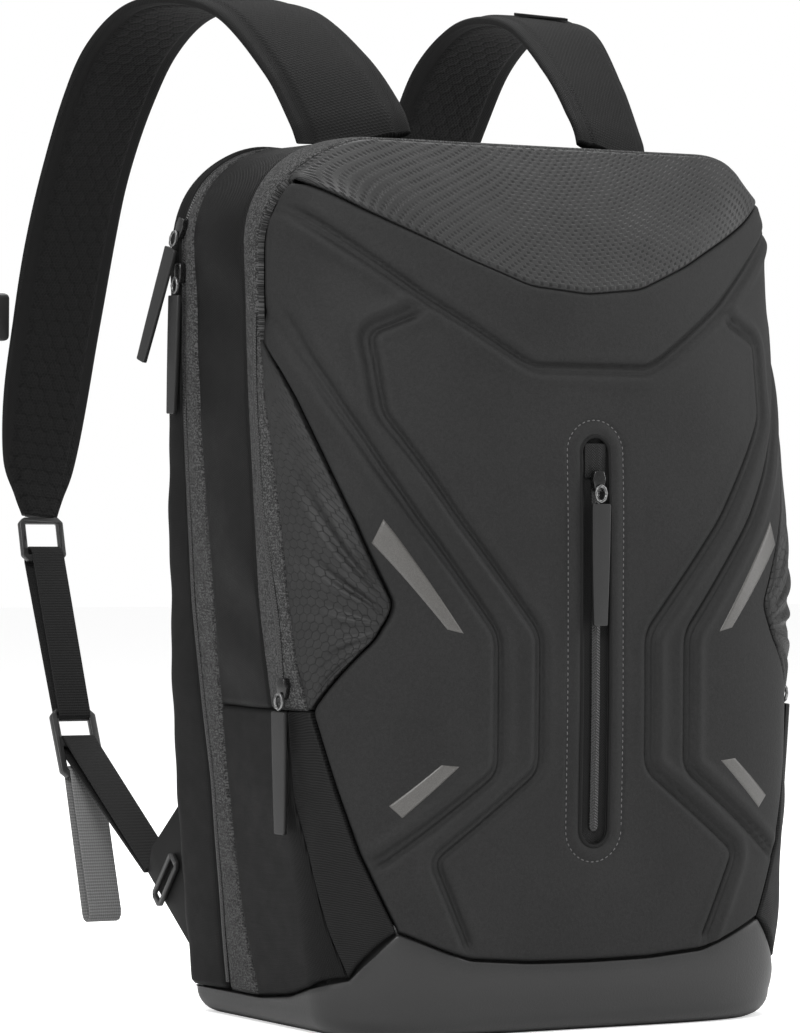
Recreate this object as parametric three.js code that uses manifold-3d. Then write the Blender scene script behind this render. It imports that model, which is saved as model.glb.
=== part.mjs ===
// Motorcycle backpack: moulded front shell, zipped gusset, padded straps.
// Millimetres, +Z up. The origin is on the flat underside, below the middle of the body.
// The moulded front faces -Y, the wearer's side faces +Y, +X is to the right seen from the front.
import * as THREE from 'three';
import { mergeVertices } from 'three/addons/utils/BufferGeometryUtils.js';
import Module from 'manifold-3d';

const wasm = await Module();
wasm.setup();

// Body
const bodyHeight = 470;
const halfWidth = 157;
const frontReach = 95;
const backReach = 95;
const topCorner = 55;
const backCorner = 12;
const baseRound = 14;
const seamGap = 0.35;
const shellWall = 6;
const clothWall = 2.4;
const backPad = 8;
const baseWall = 4;

// Grooves, front zip and reflective strips
const grooveWidth = 6;
const grooveDepth = 2.5;
const slotLength = 216;
const slotWidth = 18;
const slotMid = 206;
const slotRecess = 1.6;
const zipTapeThick = 1.4;
const zipCoilWidth = 5;
const stripThick = 1;
const stripLift = 0.45;

// Sliders and pullers
const sliderLength = 11;
const sliderWidth = 8;
const sliderThick = 4;
const bailLength = 10;
const bailWire = 1.6;
const pullLength = 64;
const pullWidth = 11;
const pullThick = 2.4;

// Shoulder straps and their webbing
const strapSpread = 82;
const strapSplay = 42;
const strapReach = 331;
const strapRoot = 20;
const strapRise = 87;
const strapDrop = 202;
const strapWidth = 62;
const strapThick = 9;
const webbingWidth = 20;
const webbingThick = 1.6;
const ringBar = 3.5;
const ringLength = 26;
const lockLength = 42;
const lockThick = 4;
const pullLoopLength = 82;
const wingThick = 5;
const wingInset = 24;
const wingReach = 66;
const wingHeight = 110;
const wingFoot = 24;
const clipLength = 28;
const clipWidth = 13;

// Body section by height: shares of bodyHeight, halfWidth and frontReach, and the roundness
const SECTION = [
  // height, half width, rim, front, roundness
  [0.000, 0.885, -0.421, -0.884, 5.0],
  [0.043, 0.898, -0.432, -0.947, 5.0],
  [0.109, 0.924, -0.421, -0.974, 4.6],
  [0.202, 0.949, -0.379, -0.989, 4.2],
  [0.291, 0.968, -0.337, -1.000, 4.1],
  [0.364, 0.981, -0.305, -1.005, 4.0],
  [0.477, 0.994, -0.232, -1.000, 4.0],
  [0.574, 1.000, -0.179, -0.995, 4.2],
  [0.704, 1.006, -0.116, -0.963, 3.0],
  [0.779, 1.003, -0.105, -0.937, 2.3],
  [0.830, 1.000, -0.084, -0.912, 2.0],
  [0.881, 1.000, -0.079, -0.874, 1.9],
  [0.940, 1.000, -0.158, -0.811, 1.85],
  [0.970, 1.000, -0.242, -0.768, 1.8],
  [0.987, 1.000, -0.337, -0.747, 1.8],
  [1.000, 1.000, -0.379, -0.737, 1.8],
];

// Seam under the top panel: shares of halfWidth and bodyHeight
const TOP_SEAM = [
  [0.000, 0.829], [0.217, 0.836], [0.433, 0.865], [0.541, 0.883],
  [0.650, 0.900], [0.758, 0.918], [0.856, 0.938], [0.933, 0.952],
];

// Lower edge of the moulded shell: shares of its own half width and of bodyHeight
const SHELL_FOOT = [
  [0.00, 0.080], [0.33, 0.081], [0.65, 0.087], [0.80, 0.099], [1.00, 0.119],
];

// Side edge of the moulded shell, and the seams behind it, in degrees of section angle
// before the rim (negative toward the middle), by share of bodyHeight
const SHELL_EDGE = [
  [0.119, -56.5], [0.206, -40.9], [0.280, -31.2], [0.361, -21.4], [0.440, -50.0],
  [0.468, -55.4], [0.481, -56.5], [0.493, -55.0], [0.571, -44.6], [0.647, -30.9],
  [0.706, -20.0], [0.738, -12.4], [0.772, -1.8], [0.800, 0.0], [1.000, 0.0],
];
const BAND_FRONT = [
  [0.361, -20.4], [0.417, -15.8], [0.483, -13.2], [0.571, -11.4],
  [0.671, -7.2], [0.749, -3.3], [0.772, -0.9], [0.800, 0.0], [1.000, 0.0],
];
const LOWER_SEAM = [
  [0.030, -33.5], [0.066, -33.0], [0.118, -22.4], [0.159, -17.5],
  [0.202, -13.6], [0.234, -9.9], [0.261, -6.5], [0.361, -7.2],
];

// Seams across the flat side: shares of bodyHeight and backReach
const BAND_REAR = [
  [0.361, -0.23], [0.426, -0.158], [0.482, -0.105], [0.615, -0.047],
  [0.762, 0.026], [0.817, 0.053], [0.879, 0.084], [1.000, 0.084],
];
const TAPE_FRONT = [
  [0.000, 0.16], [0.045, 0.17], [0.139, 0.274], [0.278, 0.337],
  [0.476, 0.426], [0.747, 0.611], [0.970, 0.72], [1.000, 0.70],
];
const MAIN_ZIP = [
  [0.000, 0.51], [0.048, 0.51], [0.136, 0.489], [0.276, 0.505],
  [0.474, 0.663], [0.748, 0.774], [0.970, 0.815], [1.000, 0.80],
];

// Upper edge of the base round its front corner: section angle, share of bodyHeight
const BASE_CORNER = [[-56.5, 0.119], [-46.9, 0.095], [-33.0, 0.067]];
// The same edge along the side: share of backReach, share of bodyHeight
const BASE_SIDE = [[-0.72, 0.067], [-0.43, 0.053], [-0.21, 0.041], [0.14, 0.033], [1.0, 0.033]];

// Heights where all side seams share a station, as shares of bodyHeight
const LEVELS = [
  0.119, 0.162, 0.206, 0.245, 0.280, 0.320, 0.361, 0.400, 0.440, 0.468, 0.481, 0.493,
  0.532, 0.571, 0.609, 0.647, 0.677, 0.706, 0.738, 0.772, 0.800, 0.828, 0.855,
];

// Moulded grooves: share of halfWidth, share of bodyHeight
const GROOVE_A = [[0.975, 0.921], [0.802, 0.876], [0.592, 0.820], [0.280, 0.752], [0.222, 0.743]];
const GROOVE_B = [
  [0.586, 0.809], [0.777, 0.781], [0.765, 0.737], [0.756, 0.690], [0.522, 0.573],
  [0.217, 0.447], [0.217, 0.295], [0.600, 0.198], [0.462, 0.095],
];
const GROOVE_C = [
  [0.943, 0.757], [0.863, 0.694], [0.770, 0.632], [0.663, 0.573],
  [0.376, 0.446], [0.376, 0.294], [0.796, 0.190],
];

// Reflective strips: corners as shares of halfWidth and bodyHeight
const STRIP_UPPER = [[0.768, 0.573], [0.787, 0.547], [0.556, 0.455], [0.530, 0.450]];
const STRIP_LOWER = [[0.522, 0.300], [0.572, 0.302], [0.738, 0.258], [0.715, 0.246]];

// Strap route: shares of strapSplay, strapReach, then of strapRise (above the top) or
// strapDrop (below it); width share, turn of the width in degrees
const STRAP_ROUTE = [
  [0.00, 0.000, 0.000, 1.00, 24], [0.03, 0.036, 0.200, 1.00, 24], [0.11, 0.125, 0.530, 1.00, 19],
  [0.26, 0.260, 0.870, 1.00, 9], [0.45, 0.405, 1.000, 1.00, 1], [0.61, 0.553, 0.985, 1.00, -4],
  [0.68, 0.680, 0.780, 1.00, -6], [0.72, 0.772, 0.440, 1.00, -7], [0.73, 0.862, -0.010, 1.00, -8],
  [0.74, 0.920, -0.200, 1.00, -8], [0.77, 0.965, -0.420, 1.00, -8],
  [0.85, 0.990, -0.640, 0.97, -8], [0.94, 0.995, -0.840, 0.80, -8],
  [0.98, 0.985, -0.940, 0.55, -8], [1.00, 0.975, -1.000, 0.38, -8],
];

const model = new THREE.Group();
const radians = Math.PI / 180;

function lookUp(table, at, column = 1) {
  if (at <= table[0][0]) return table[0][column];
  for (let i = 1; i < table.length; i += 1) {
    if (at <= table[i][0]) {
      const share = (at - table[i - 1][0]) / (table[i][0] - table[i - 1][0]);
      return table[i - 1][column] + share * (table[i][column] - table[i - 1][column]);
    }
  }
  return table[table.length - 1][column];
}

// Body surface
const cornerLevel = bodyHeight - topCorner;
const cornerOffset = halfWidth - topCorner;
const rimAt = (z) => lookUp(SECTION, z / bodyHeight, 2) * frontReach;
const frontAt = (z) => lookUp(SECTION, z / bodyHeight, 3) * frontReach;
const roundAt = (z) => lookUp(SECTION, z / bodyHeight, 4);

function widthAt(z) {
  if (z <= cornerLevel) return lookUp(SECTION, z / bodyHeight, 1) * halfWidth;
  return cornerOffset + Math.sqrt(Math.max(topCorner ** 2 - (z - cornerLevel) ** 2, 0));
}

function shellDepth(x, z) {
  const share = Math.min(Math.abs(x) / widthAt(z), 1);
  const rise = Math.sqrt(Math.max(1 - share ** roundAt(z), 0));
  return rimAt(z) - (rimAt(z) - frontAt(z)) * rise;
}

const seamAt = (x) => lookUp(TOP_SEAM, Math.abs(x) / halfWidth) * bodyHeight;

function topAt(x) {
  const past = Math.abs(x) - cornerOffset;
  if (past <= 0) return bodyHeight;
  return cornerLevel + Math.sqrt(Math.max(topCorner ** 2 - past ** 2, 0));
}

function frontDepth(x, z) {
  const seam = seamAt(x);
  if (z <= seam) return shellDepth(x, z);
  const top = topAt(x);
  const share = Math.min((z - seam) / Math.max(top - seam, 1e-6), 1);
  return shellDepth(x, seam) * (1 - share) + rimAt(top) * share - 2 * Math.sin(Math.PI * share);
}

// Half width of the section at an angle before the rim
function widthAtAngle(angle, z) {
  return widthAt(z) * Math.sin((90 + angle) * radians) ** (2 / roundAt(z));
}

function frontNormal(x, z) {
  const step = Math.min(4, Math.max(widthAt(z) - Math.abs(x), 0.5));
  const inner = Math.min(Math.abs(x), widthAt(z) - step) * Math.sign(x);
  const dx = frontDepth(inner + step, z) - frontDepth(inner - step, z);
  const dz = frontDepth(inner, z + 4) - frontDepth(inner, z - 4);
  return new THREE.Vector3(dx / (2 * step), -1, dz / 8).normalize();
}

// Stations round the rim: side, corner arc, top, corner arc, side, each with a side normal
function rimStations(levels) {
  const half = levels.map((z) => ({ x: widthAt(z), z, nx: 1, nz: 0 }));
  for (let k = 0; k <= 4; k += 1) {
    const turn = k * 18 * radians;
    half.push({
      x: cornerOffset + topCorner * Math.cos(turn),
      z: cornerLevel + topCorner * Math.sin(turn),
      nx: Math.cos(turn),
      nz: Math.sin(turn),
    });
  }
  const left = half.map((s) => ({ ...s, x: -s.x, nx: -s.nx }));
  const right = half.slice().reverse();
  const top = [];
  for (let k = -6; k <= 6; k += 1) top.push({ x: (cornerOffset * k) / 6, z: bodyHeight, nx: 0, nz: 1 });
  return [...left, ...top, ...right];
}

function rimMitre(s) {
  const side = new THREE.Vector3(s.nx, 0, s.nz);
  const inX = s.x - 7 * s.nx;
  const inZ = s.z - 7 * s.nz;
  return side.add(frontNormal(inX, inZ)).normalize();
}

// A point of the side: reach is millimetres behind the rim, angle degrees before it
function sidePoint(s, y) {
  const point = new THREE.Vector3(s.x, y, s.z);
  const normal = y - rimAt(s.z) < 3 ? rimMitre(s) : new THREE.Vector3(s.nx, 0, s.nz);
  return { point, normal };
}

function anglePoint(side, angle, z) {
  if (angle > -1) {
    const s = { x: side * widthAt(z), z, nx: side, nz: 0 };
    if (z > cornerLevel) {
      s.nz = (z - cornerLevel) / topCorner;
      s.nx = side * Math.sqrt(Math.max(1 - s.nz ** 2, 0));
    }
    const x = side * widthAtAngle(angle, z);
    return { point: new THREE.Vector3(x, shellDepth(x, z), z), normal: rimMitre(s) };
  }
  const x = side * widthAtAngle(angle, z);
  return { point: new THREE.Vector3(x, frontDepth(x, z), z), normal: frontNormal(x, z) };
}

// Closed solids from rows of points
function addMesh(name, geometry, look) {
  geometry.computeVertexNormals();
  const mesh = new THREE.Mesh(geometry, new THREE.MeshStandardMaterial({ name, ...look }));
  mesh.name = name;
  model.add(mesh);
  return mesh;
}

function closedGeometry(points, faces) {
  let volume = 0;
  for (const [a, b, c] of faces) volume += points[a].dot(points[b].clone().cross(points[c]));
  const turned = volume < 0 ? faces.map(([a, b, c]) => [a, c, b]) : faces;
  const geometry = new THREE.BufferGeometry();
  geometry.setAttribute('position', new THREE.Float32BufferAttribute(points.flatMap((p) => p.toArray()), 3));
  geometry.setIndex(turned.flat());
  return geometry;
}

// A patch of the body: outer grid of { point, normal }, thickened inward
function thickPatch(grid, wall) {
  const rows = grid.length;
  const columns = grid[0].length;
  const points = [];
  for (const row of grid) for (const p of row) points.push(p.point);
  for (const row of grid) for (const p of row) points.push(p.point.clone().addScaledVector(p.normal, -wall));
  const at = (layer, i, j) => layer * rows * columns + i * columns + j;
  const faces = [];
  const quad = (a, b, c, d) => faces.push([a, b, c], [a, c, d]);
  for (let i = 0; i < rows - 1; i += 1) {
    for (let j = 0; j < columns - 1; j += 1) {
      quad(at(0, i, j), at(0, i, j + 1), at(0, i + 1, j + 1), at(0, i + 1, j));
      quad(at(1, i, j), at(1, i + 1, j), at(1, i + 1, j + 1), at(1, i, j + 1));
    }
  }
  for (let j = 0; j < columns - 1; j += 1) {
    quad(at(0, 0, j + 1), at(0, 0, j), at(1, 0, j), at(1, 0, j + 1));
    quad(at(0, rows - 1, j), at(0, rows - 1, j + 1), at(1, rows - 1, j + 1), at(1, rows - 1, j));
  }
  for (let i = 0; i < rows - 1; i += 1) {
    quad(at(0, i, 0), at(0, i + 1, 0), at(1, i + 1, 0), at(1, i, 0));
    quad(at(0, i + 1, columns - 1), at(0, i, columns - 1), at(1, i, columns - 1), at(1, i + 1, columns - 1));
  }
  return closedGeometry(points, faces);
}

// A closed bar from equal rings of points, its two ends closed by fans
function ringLoft(rings) {
  const count = rings[0].length;
  const points = rings.flat();
  const faces = [];
  for (let i = 0; i < rings.length - 1; i += 1) {
    for (let j = 0; j < count; j += 1) {
      const k = (j + 1) % count;
      const a = i * count + j;
      const b = i * count + k;
      faces.push([a, b, b + count], [a, b + count, a + count]);
    }
  }
  const last = (rings.length - 1) * count;
  for (let j = 1; j < count - 1; j += 1) {
    faces.push([0, j + 1, j], [last, last + j, last + j + 1]);
  }
  return closedGeometry(points, faces);
}

function toManifold(geometry) {
  const bare = geometry.index ? geometry.clone() : mergeVertices(geometry, 1e-4);
  bare.deleteAttribute('normal');
  bare.deleteAttribute('uv');
  const merged = mergeVertices(bare, 1e-4);
  const mesh = new wasm.Mesh({
    numProp: 3,
    vertProperties: new Float32Array(merged.attributes.position.array),
    triVerts: new Uint32Array(merged.index.array),
  });
  return new wasm.Manifold(mesh);
}

function fromManifold(solid) {
  const mesh = solid.getMesh();
  const geometry = new THREE.BufferGeometry();
  geometry.setAttribute('position', new THREE.BufferAttribute(mesh.vertProperties, 3));
  geometry.setIndex(new THREE.BufferAttribute(mesh.triVerts, 1));
  return geometry;
}

// Looks
const shellLook = { color: 0x323232, roughness: 0.8, metalness: 0 };
const topLook = { color: 0x3c3c3c, roughness: 0.6, metalness: 0 };
const baseLook = { color: 0x4b4b4b, roughness: 0.5, metalness: 0 };
const clothLook = { color: 0x1a1a1a, roughness: 0.8, metalness: 0 };
const bandLook = { color: 0x2a2a2a, roughness: 0.95, metalness: 0 };
const ripstopLook = { color: 0x303030, roughness: 0.6, metalness: 0 };
const strapLook = { color: 0x151515, roughness: 0.9, metalness: 0 };
const webbingLook = { color: 0x181818, roughness: 0.85, metalness: 0 };
const greyLook = { color: 0x737373, roughness: 0.85, metalness: 0 };
const stripLook = { color: 0x5a5855, roughness: 0.45, metalness: 0 };
const pullLook = { color: 0x202020, roughness: 0.55, metalness: 0 };
const sliderLook = { color: 0x1c1c1e, roughness: 0.35, metalness: 0 };
const bailLook = { color: 0x9a9a9a, roughness: 0.3, metalness: 1 };
const hardwareLook = { color: 0x3a3a3a, roughness: 0.45, metalness: 0 };

// Moulded front shell: a grid from its foot to the top seam, grooves pressed in, slot cut out
const levels = LEVELS.map((share) => share * bodyHeight);
const cornerLevels = [0, 18, 36].map((turn) => cornerLevel + topCorner * Math.sin(turn * radians));
const edgeLevels = [...levels, ...cornerLevels];
const edgeAngle = (z) => Math.min(lookUp(SHELL_EDGE, z / bodyHeight), -0.15) - 0.13;
const halfGap = seamGap / 2;
const topStations = [];
for (let k = 0; k <= 6; k += 1) topStations.push((cornerOffset * k) / 6);
for (let k = 4; k >= 2; k -= 1) topStations.push(cornerOffset + topCorner * Math.cos(k * 18 * radians));
const seamEnd = topStations[topStations.length - 1];
const columnShares = topStations.map((x) => x / seamEnd);
const fullShares = [...columnShares.slice(1).reverse().map((s) => -s), ...columnShares];
const shellFootWidth = widthAtAngle(edgeAngle(edgeLevels[0]), edgeLevels[0]);

function shellGrid(shift) {
  const footTop = edgeLevels[0];
  const headTop = edgeLevels[edgeLevels.length - 1];
  return edgeLevels.map((edge) => fullShares.map((share) => {
    const side = Math.sign(share) || 1;
    const up = (edge - footTop) / (headTop - footTop);
    const foot = lookUp(SHELL_FOOT, Math.abs(share)) * bodyHeight + halfGap;
    const head = seamAt(share * seamEnd) - halfGap;
    const z = foot + up * (head - foot);
    const edgeHeight = edge;
    if (Math.abs(share) > 0.999) {
      const p = anglePoint(side, edgeAngle(edgeHeight), z);
      return { point: p.point.addScaledVector(p.normal, shift), normal: p.normal };
    }
    const x = share * widthAtAngle(edgeAngle(edgeHeight), edgeHeight);
    const safe = Math.min(Math.abs(x), widthAtAngle(-3, z)) * side;
    const normal = frontNormal(safe, z);
    const point = new THREE.Vector3(safe, frontDepth(safe, z), z);
    return { point: point.addScaledVector(normal, shift), normal };
  }));
}

// A channel along a line of the front: open outward, grooveDepth deep
function grooveCutter(line, side) {
  const route = [];
  for (let i = 0; i < line.length; i += 1) {
    const [x, z] = [line[i][0] * halfWidth * side, line[i][1] * bodyHeight];
    if (i > 0) {
      const last = route[route.length - 1];
      const span = Math.hypot(x - last[0], z - last[1]);
      const parts = Math.max(1, Math.round(span / 40));
      for (let k = 1; k < parts; k += 1) {
        route.push([last[0] + ((x - last[0]) * k) / parts, last[1] + ((z - last[1]) * k) / parts]);
      }
    }
    route.push([x, z]);
  }
  const heading = (i) => {
    const [from, to] = [route[i], route[i + 1]];
    return new THREE.Vector2(to[0] - from[0], to[1] - from[1]).normalize();
  };
  const rings = route.map(([x, z], i) => {
    const before = heading(Math.max(i - 1, 0));
    const after = heading(Math.min(i, route.length - 2));
    const mid = before.clone().add(after).normalize();
    const mitre = 1 / Math.max(mid.dot(after), 0.7);
    const wx = -mid.y * mitre;
    const wz = mid.x * mitre;
    const inside = Math.min(Math.abs(x), widthAt(z) - 1) * Math.sign(x);
    const depth = frontDepth(inside, z);
    const corner = (across, y) => new THREE.Vector3(x + wx * across, y, z + wz * across);
    return [
      corner(-grooveWidth, depth - 8),
      corner(grooveWidth, depth - 8),
      corner(0.8, depth + grooveDepth),
      corner(-0.8, depth + grooveDepth),
    ];
  });
  return ringLoft(rings);
}

function stadium(width, length, mid) {
  const shape = new THREE.Shape();
  const r = width / 2;
  const run = length / 2 - r;
  shape.moveTo(r, mid - run);
  shape.lineTo(r, mid + run);
  shape.absarc(0, mid + run, r, 0, Math.PI, false);
  shape.lineTo(-r, mid - run);
  shape.absarc(0, mid - run, r, Math.PI, Math.PI * 2, false);
  return shape;
}

// A prism along Y from an outline drawn in x and z
function alongY(shape, y, thick, curveSegments = 6) {
  const geometry = new THREE.ExtrudeGeometry(shape, { depth: thick, bevelEnabled: false, curveSegments });
  geometry.rotateX(Math.PI / 2);
  geometry.translate(0, y + thick, 0);
  return geometry;
}

let shell = toManifold(thickPatch(shellGrid(0), shellWall));
const grooveV = [
  ...GROOVE_A,
  ...GROOVE_A.slice().reverse().map(([x, z]) => [-x, z]),
];
shell = shell.subtract(toManifold(grooveCutter(grooveV, -1)));
for (const side of [-1, 1]) {
  shell = shell.subtract(toManifold(grooveCutter(GROOVE_B, side)));
  shell = shell.subtract(toManifold(grooveCutter(GROOVE_C, side)));
}
const slotShape = stadium(slotWidth, slotLength, slotMid);
shell = shell.subtract(toManifold(alongY(slotShape, -frontReach * 1.4, frontReach)));
addMesh('front_shell', fromManifold(shell), shellLook);

// Top panel between the shell's seam and the rim
const topShares = [...topStations.slice(1).reverse().map((x) => -x), ...topStations];
const topGrid = [0, 0.3, 0.65, 1].map((up) => topShares.map((x) => {
  const trimmed = x * (1 - 0.2 / seamEnd);
  const low = seamAt(x) + halfGap;
  const high = topAt(x);
  const gapTop = up === 1 ? halfGap : 0;
  const z = low + up * (high - low) - gapTop;
  const depth = frontDepth(trimmed, z);
  if (up === 1) {
    const past = Math.max(Math.abs(x) - cornerOffset, 0) / topCorner;
    const s = { x, z: high, nx: Math.sign(x) * past, nz: Math.sqrt(1 - past ** 2) };
    return { point: new THREE.Vector3(trimmed, depth - halfGap, z), normal: rimMitre(s) };
  }
  return { point: new THREE.Vector3(trimmed, depth, z), normal: frontNormal(trimmed, z) };
}));
addMesh('top_panel', thickPatch(topGrid, clothWall), topLook);

// Side strips round the body
const zipLine = (z) => lookUp(MAIN_ZIP, z / bodyHeight) * backReach;
const tapeLine = (z) => lookUp(TAPE_FRONT, z / bodyHeight) * backReach;
const bandLine = (z) => lookUp(BAND_REAR, z / bodyHeight) * backReach;
const baseSide = (y) => lookUp(BASE_SIDE, y / backReach) * bodyHeight;
const lowLevels = [baseSide(backReach) + halfGap];
const stationsAll = rimStations([...lowLevels, ...levels]);
const levelBandEnd = levels[6];
const stationsHigh = rimStations(levels.filter((z) => z >= levelBandEnd - 0.01));

function stripGrid(stations, fractions, rearLine, frontLine) {
  return stations.map((s) => fractions.map((share) => {
    const rear = rearLine(s.z) - halfGap;
    const front = frontLine(s.z) + halfGap;
    return sidePoint(s, rear + share * (front - rear));
  }));
}

// Back band: from the main zip, round the rear corner, to the back panel
const cornerStart = backReach - backCorner;
const backBand = stationsAll.map((s) => {
  const row = [sidePoint(s, zipLine(s.z) + halfGap), sidePoint(s, cornerStart)];
  for (const turn of [50, 90]) {
    const inset = backCorner * (1 - Math.cos(turn * radians));
    const y = cornerStart + backCorner * Math.sin(turn * radians);
    const out = Math.cos(turn * radians);
    row.push({
      point: new THREE.Vector3(s.x - inset * s.nx, y, s.z - inset * s.nz),
      normal: new THREE.Vector3(out * s.nx, Math.sin(turn * radians), out * s.nz).normalize(),
    });
  }
  return row;
});
addMesh('back_band', thickPatch(backBand, clothWall), bandLook);

addMesh('main_zip_band', thickPatch(stripGrid(stationsAll, [0, 1], zipLine, tapeLine), clothWall), bandLook);
addMesh('side_gusset', thickPatch(stripGrid(stationsHigh, [0, 1], tapeLine, bandLine), clothWall), clothLook);

// Front band with the pocket zip: its front edge runs on the rim, lower down before it
const bandAngle = (z) => Math.min(lookUp(BAND_FRONT, z / bodyHeight), 0);
const bandGrid = stationsHigh.map((s) => {
  const side = Math.sign(s.x) || 1;
  const angle = bandAngle(s.z);
  const rim = rimAt(s.z);
  const rear = sidePoint(s, bandLine(s.z) - halfGap);
  if (angle > -0.5) {
    const front = sidePoint(s, rim + halfGap);
    const middle = sidePoint(s, (bandLine(s.z) + rim) / 2);
    return [rear, middle, front];
  }
  const front = anglePoint(side, angle + 0.12, s.z);
  const middle = anglePoint(side, (angle + 0.12) / 2, s.z);
  if (bandLine(s.z) - halfGap < rim + 2) {
    return [sidePoint(s, Math.max(bandLine(s.z) - halfGap, rim + 0.2)), middle, front];
  }
  return [rear, middle, front];
});
addMesh('front_band', thickPatch(bandGrid, clothWall), bandLook);

// Panels that exist once on each side
const cornerRows = levels.filter((z) => z <= levelBandEnd + 0.01);
const footLevel = lowLevels[0];
const footStops = [0, 1, 2].map((stop) => {
  const rear = tapeLine(footLevel);
  return rear + (stop / 2) * (rimAt(footLevel) + 0.5 - rear);
});
for (const side of [-1, 1]) {
  const hand = side < 0 ? 'left' : 'right';

  // Hex ripstop pocket panel between the front band and the shell's edge
  const pocketLevels = levels.filter((z) => z >= levelBandEnd - 0.01 && z < 0.7721 * bodyHeight);
  const pocket = pocketLevels.map((z, i) => [0, 0.33, 0.67, 1].map((share) => {
    const rear = bandAngle(z) - 0.2;
    const front = Math.min(lookUp(SHELL_EDGE, z / bodyHeight) + 0.5, rear - 0.3);
    const lift = i === 0 ? seamGap : 0;
    return anglePoint(side, rear + share * (front - rear), z + lift);
  }));
  addMesh(`pocket_panel_${hand}`, thickPatch(pocket, clothWall), ripstopLook);

  // Front corner panel between the lower seam and the shell's edge
  const corner = cornerRows.map((edge) => [0, 0.33, 0.67, 1].map((share) => {
    const up = (edge - cornerRows[0]) / (levelBandEnd - cornerRows[0]);
    const seamAngle = lookUp(BASE_CORNER, -56.5 + (1 - share) * 23.5) * bodyHeight;
    const foot = seamAngle + halfGap;
    const z = foot + up * (levelBandEnd - halfGap - foot);
    const rear = lookUp(LOWER_SEAM, z / bodyHeight) - 0.2;
    const front = lookUp(SHELL_EDGE, Math.max(z, cornerRows[0]) / bodyHeight) + 0.5;
    return anglePoint(side, rear + share * (front - rear), z);
  }));
  addMesh(`corner_panel_${hand}`, thickPatch(corner, clothWall), clothLook);

  // Lower side panel between the lower seam and the main zip band
  const lower = cornerRows.map((edge) => [0, 1, 2, 3].map((stop) => {
    const up = (edge - cornerRows[0]) / (levelBandEnd - cornerRows[0]);
    if (stop === 3) {
      const foot = lookUp(BASE_CORNER, -33) * bodyHeight + halfGap;
      const z = foot + up * (levelBandEnd - halfGap - foot);
      return anglePoint(side, lookUp(LOWER_SEAM, z / bodyHeight) + 0.2, z);
    }
    const foot = baseSide(footStops[stop]) + halfGap;
    const z = foot + up * (levelBandEnd - halfGap - foot);
    const rear = tapeLine(z) - 2 * seamGap;
    const front = rimAt(z) + 0.5;
    const y = rear + (stop / 2) * (front - rear);
    return sidePoint({ x: side * widthAt(z), z, nx: side, nz: 0 }, y);
  }));
  addMesh(`lower_side_${hand}`, thickPatch(lower, clothWall), clothLook);
}

// Padded back panel inside the back band
const backRows = [];
for (const s of stationsAll) {
  if (s.x > 0 && s.nz < 0.9999) backRows.push(s);
}
backRows.push({ x: cornerOffset, z: bodyHeight, nx: 0, nz: 1 });
backRows.sort((a, b) => a.z - b.z);
const backGrid = backRows.map((s) => [-1, 1].map((share) => {
  const x = (s.x - (backCorner + seamGap) * s.nx) * share;
  const z = s.z - (backCorner + seamGap) * s.nz;
  return { point: new THREE.Vector3(x, backReach, z), normal: new THREE.Vector3(0, 1, 0) };
}));
addMesh('back_panel', thickPatch(backGrid, backPad), clothLook);

// Base: a tray with its wall turned up to the seams, rounded under to a flat underside
const footColumns = columnShares.map((share) => share * shellFootWidth);
const footSide = [...footStops].reverse();
const baseStops = [
  ...footColumns.map((x, i) => ({ x, top: lookUp(SHELL_FOOT, columnShares[i]) * bodyHeight })),
  ...BASE_CORNER.slice(1).map(([angle, up]) => ({ angle, top: up * bodyHeight })),
  ...footSide.map((y) => ({ y, top: baseSide(y) })),
  ...[cornerStart * 0.6, cornerStart].map((y) => ({ y, top: baseSide(y) })),
  ...[45, 90].map((turn) => ({ turn, top: baseSide(backReach) })),
];

// Outline of the base at one height, moved inward, from the front middle to the back middle
function baseOutline(level, inset) {
  const half = baseStops.map((stop) => {
    const z = level(stop.top);
    const width = widthAt(z);
    if (stop.y !== undefined) return [width - inset, stop.y, z];
    if (stop.turn !== undefined) {
      const out = Math.cos(stop.turn * radians);
      const back = Math.sin(stop.turn * radians);
      const reach = backCorner - inset;
      return [width - backCorner + reach * out, cornerStart + reach * back, z];
    }
    const x = stop.x === undefined ? widthAtAngle(stop.angle, z) : stop.x;
    const n = frontNormal(x, Math.max(z, 24));
    const flat = Math.hypot(n.x, n.y);
    return [x - (n.x / flat) * inset, shellDepth(x, z) - (n.y / flat) * inset, z];
  });
  half.push([0, backReach - inset, level(baseSide(backReach))]);
  const mirrored = half.slice(1, -1).reverse().map(([x, y, z]) => [-x, y, z]);
  return [...half, ...mirrored].map(([x, y, z]) => new THREE.Vector3(x, y, z));
}

function baseRings(wall) {
  const rings = [1, 0.5, 0].map((share) => (
    baseOutline((top) => baseRound + share * (top - halfGap - baseRound), wall)
  ));
  for (const turn of [30, 60, 90]) {
    const z = baseRound - (baseRound - wall) * Math.sin(turn * radians);
    const inset = wall + (baseRound - wall) * (1 - Math.cos(turn * radians));
    const ring = baseOutline(() => baseRound, Math.min(inset, backCorner - 0.5));
    rings.push(ring.map((p) => new THREE.Vector3(p.x, p.y, z)));
  }
  return rings;
}

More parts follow.
